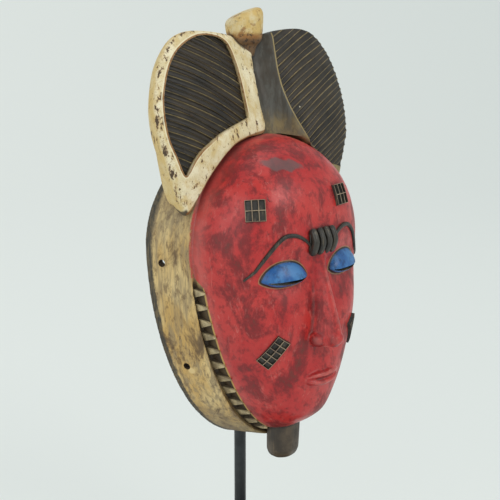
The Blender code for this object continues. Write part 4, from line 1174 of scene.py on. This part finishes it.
def lineDistance(spots, line, closed):  # distance to a polyline, and which side of a closed one
    a = line
    b = np.roll(line, -1, 0) if closed else line[1:]
    a = a if closed else a[:-1]
    best = np.full(len(spots), 1e9)
    inside = np.zeros(len(spots), bool)
    for p, q in zip(a, b):
        d = q - p
        t = np.clip(((spots - p) @ d) / max(d @ d, 1e-18), 0, 1)
        best = np.minimum(best, np.linalg.norm(spots - (p + t[:, None] * d), axis=1))
        if closed:
            cross = (p[1] > spots[:, 1]) != (q[1] > spots[:, 1])
            with np.errstate(divide="ignore", invalid="ignore"):
                at = (q[0] - p[0]) * (spots[:, 1] - p[1]) / (q[1] - p[1]) + p[0]
            inside ^= cross & (spots[:, 0] < at)
    return best, inside


def cavityFact(mesh, spots):  # how much wood is round a point: 0 on a plain, below on an edge, above in a crease
    cell, edge = 0.0012, 6
    low = spots.min(0) - cell * edge
    counts = np.ceil((spots.max(0) + cell * edge - low) / cell).astype(int)
    work = bmesh.new()
    work.from_mesh(mesh)
    tree = BVHTree.FromBMesh(work)
    filled = np.zeros(counts, np.float32)
    ahead = Vector((0, 1, 0))
    for i in range(counts[0]):
        x = low[0] + (i + 0.5) * cell
        for k in range(counts[2]):
            z = low[2] + (k + 0.5) * cell
            y, hits = low[1], []
            while len(hits) < 24:
                hit = tree.ray_cast(Vector((x, y, z)), ahead)
                if hit[0] is None:
                    break
                hits.append(hit[0].y)
                y = hit[0].y + 1e-5
            for start, end in zip(hits[::2], hits[1::2]):
                a, b = int((start - low[1]) / cell + 0.5), int((end - low[1]) / cell + 0.5)
                filled[i, a:b, k] = 1.0
    work.free()
    reach = 2.0
    taps = np.arange(-5, 6)
    weights = np.exp(-(taps / reach) ** 2 / 2)
    weights /= weights.sum()
    for axis in range(3):
        total = np.zeros_like(filled)
        for tap, weight in zip(taps, weights):
            total += weight * np.roll(filled, tap, axis)
        filled = total
    at = (spots - low) / cell - 0.5
    base = np.floor(at).astype(int)
    part = at - base
    base = np.clip(base, 0, counts - 2)
    out = np.zeros(len(spots))
    for dx in (0, 1):
        for dy in (0, 1):
            for dz in (0, 1):
                share = (abs(1 - dx - part[:, 0]) * abs(1 - dy - part[:, 1]) * abs(1 - dz - part[:, 2]))
                out += share * filled[base[:, 0] + dx, base[:, 1] + dy, base[:, 2] + dz]
    return (out - 0.5) * 2


def keepFacts(mesh):  # numbers that the finishes read, in millimetres where they are distances
    spots = np.empty(len(mesh.vertices) * 3)
    mesh.vertices.foreach_get("co", spots)
    spots = spots.reshape(-1, 3)
    x, forward, z = spots[:, 0], -spots[:, 1], spots[:, 2]
    flat = np.stack([x, z], 1)
    facts = {"forward": forward * 1000, "cavity": cavityFact(mesh, spots), "grooved": grooved(z)}
    edge = eggLine(faceHalf, faceMid, faceMid - face["low"], face["high"] - faceMid, face["taper"], 240)
    away, inside = lineDistance(flat, edge, True)
    facts["faceIn"] = np.where(forward > band["deep"] * 0.8, np.where(inside, away, -away) * 1000, -9.0)
    lid = np.full(len(x), -5.0)
    for side in (-1, 1):
        u = np.linspace(-0.985, 0.985, 30)
        crease, _, rim = lidLines(u)
        over = np.stack([side * eyeX + u * face["eyeWide"] / 2, crease], 1)
        under = np.stack([side * eyeX + u * face["eyeWide"] / 2, rim], 1)
        away, inside = lineDistance(flat, np.concatenate([over, under[::-1]]), True)
        near = forward > band["deep"] + 0.004
        lid = np.maximum(lid, np.where(near, np.where(inside, away, -away) * 1000, -5.0))
    facts["lidIn"] = lid
    fold = np.stack([np.abs(x), z], 1)
    away, inside = lineDistance(fold, fieldLine, True)
    front = lobeFront(np.abs(x), z)
    facts["fieldIn"] = np.where(forward > front - 0.012, np.where(inside, away, -away) * 1000, -9.0)
    facts["hairDist"] = lineDistance(fold, hairLine, False)[0] * 1000
    facts["lobeDrop"] = (front - forward) * 1000
    facts["dip"] = facts["lobeDrop"] - coiffure["sink"] * 1000
    crestX = np.interp(z, crestLine[::-1, 1], crestLine[::-1, 0])
    facts["crestOut"] = (x - crestX) * 1000
    px, pz = x - marks["patch"][0], z - marks["patch"][1]
    patch = (px / 0.018) ** 2 + ((pz + 0.12 * px + 0.0012 * np.sin(px * 420)) / 0.0050) ** 2
    facts["patch"] = np.sqrt(patch) - 1
    crack = np.abs(x - marks["crack"][0] - 0.0006 * np.sin(z * 900))
    facts["crack"] = crack * 1000 + np.maximum(0, np.abs(z - marks["crack"][1]) - 0.011) * 1000
    chip = np.full(len(x), 9.0)
    for cx, cz, wide in marks["chips"]:
        chip = np.minimum(chip, np.hypot(x - cx, (z - cz) * 1.3) / wide)
    facts["chip"] = chip
    sx, sy, sz, wide = marks["scar"]
    facts["scar"] = np.sqrt((x - sx) ** 2 + (forward - sy) ** 2 + (z - sz) ** 2) / wide
    for name, values in facts.items():
        layer = mesh.attributes.new(name, "FLOAT", "POINT")
        layer.data.foreach_set("value", np.asarray(values, np.float32))


# places of wear: across and up, in the mask's own space
marks = {"patch": (-0.0205, 0.2755), "crack": (-0.0490, 0.2570), "scar": (-0.083, 0.0235, 0.0868, 0.005),
         "chips": ((0.0468, 0.3218, 0.0014), (0.0560, 0.3229, 0.0021))}


def finishMask():
    mask = makeMask()
    mask.name = "carvedMask"
    mesh = mask.data
    clean = bmesh.new()
    clean.from_mesh(mesh)
    bmesh.ops.triangulate(clean, faces=clean.faces[:])
    bmesh.ops.dissolve_degenerate(clean, dist=0.000004, edges=clean.edges[:])
    bmesh.ops.triangulate(clean, faces=clean.faces[:])
    for edge in clean.edges:
        edge.smooth = edge.calc_face_angle(0.0) < math.radians(36)
    for face_ in clean.faces:
        face_.smooth = True
    clean.to_mesh(mesh)
    clean.free()
    say("mask joined, %d triangles, %d open edges" % (len(mesh.polygons), countOpen(mask)))
    keepFacts(mesh)
    say("facts for the finishes")
    c, s = math.cos(place["lean"]), math.sin(place["lean"])
    mesh.transform(Matrix(((1, 0, 0, 0), (0, c, s, place["back"]), (0, -s, c, place["lift"]), (0, 0, 0, 1))))
    mesh.update()
    even = mask.modifiers.new("even shading", "WEIGHTED_NORMAL")
    even.keep_sharp = True
    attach(mask, "root")
    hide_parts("mask")
    return mask


finishMask()

for name, title in (("stand_rod", "satin black rod"), ("stand_base", "satin black foot")):
    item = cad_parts[name]
    item.data.materials.clear()
    item.data.materials.append(finishSteel(title))
say("stand")

stage = {"floor": 3.6, "bend": 1.6, "wall": 4.5, "tone": tint(150, 154, 152), "glow": 0.62,
         "left": tint(236, 241, 238), "right": tint(214, 221, 219), "world": tint(226, 232, 234)}


def addStage():
    line = [(0.0, 0.0)]
    for k in range(13):
        a = math.pi / 2 * k / 12
        line.append((stage["floor"] - stage["bend"] + stage["bend"] * math.sin(a),
                     stage["bend"] - stage["bend"] * math.cos(a)))
    line.append((stage["floor"], stage["wall"]))
    sweep = bmesh.new()
    verts = [sweep.verts.new((x, 0.0, z)) for x, z in line]
    edges = [sweep.edges.new(pair) for pair in zip(verts, verts[1:])]
    bmesh.ops.spin(sweep, geom=verts + edges, cent=(0, 0, 0), axis=(0, 0, 1), angle=2 * math.pi, steps=96,
                   use_merge=True)
    bmesh.ops.remove_doubles(sweep, verts=sweep.verts, dist=0.0001)
    bmesh.ops.recalc_face_normals(sweep, faces=sweep.faces)
    bmesh.ops.reverse_faces(sweep, faces=sweep.faces)
    for face_ in sweep.faces:
        face_.smooth = True
    f = Finish("pale backdrop", Roughness=0.9)
    f.shader.inputs["Base Color"].default_value = stage["tone"]
    f.shader.inputs["Specular IOR Level"].default_value = 0.1
    f.shader.inputs["Emission Strength"].default_value = stage["glow"]
    x, y, z = (f.add("ShaderNodeSeparateXYZ", {}, (f.coords,), k) for k in range(3))
    # the backdrop glows by itself, brighter at the left and darker at the right: a painted fall-off of light
    f.feed("Emission Color", f.mix(f.step(x * 0.73 - y * 0.68 + z * 0.35, -2.0, 2.6), stage["left"], stage["right"]))
    floor = makeObject("backdrop", sweep, f.material)


lamps = (
    {"name": "key", "at": (0.55, -1.9, 1.75), "aim": (0.0, 0.0, 0.35), "size": 1.1, "power": 17.0,
     "tint": (1.0, 0.985, 0.96)},
    {"name": "fill", "at": (-2.0, -0.6, 1.3), "aim": (0.0, 0.0, 0.32), "size": 1.8, "power": 13.0,
     "tint": (0.97, 0.99, 1.0)},
    {"name": "top", "at": (0.2, 0.3, 2.6), "aim": (0.0, 0.0, 0.32), "size": 2.0, "power": 14.0,
     "tint": (1.0, 1.0, 1.0)},
)


def addLamps():
    for lamp in lamps:
        data = bpy.data.lights.new(lamp["name"], "AREA")
        data.shape = "SQUARE"
        data.size, data.energy, data.color = lamp["size"], lamp["power"], lamp["tint"]
        item = bpy.data.objects.new(lamp["name"], data)
        item.location = lamp["at"]
        item.rotation_euler = (Vector(lamp["at"]) - Vector(lamp["aim"])).to_track_quat("Z", "Y").to_euler()
        bpy.context.scene.collection.objects.link(item)
    world = bpy.data.worlds.new("pale sky")
    bpy.context.scene.world = world
    world.use_nodes = True
    world.node_tree.nodes["Background"].inputs["Color"].default_value = stage["world"]
    world.node_tree.nodes["Background"].inputs["Strength"].default_value = 0.30
    bpy.context.scene.view_settings.view_transform = "Standard"


addStage()
addLamps()
say("stage and lamps")
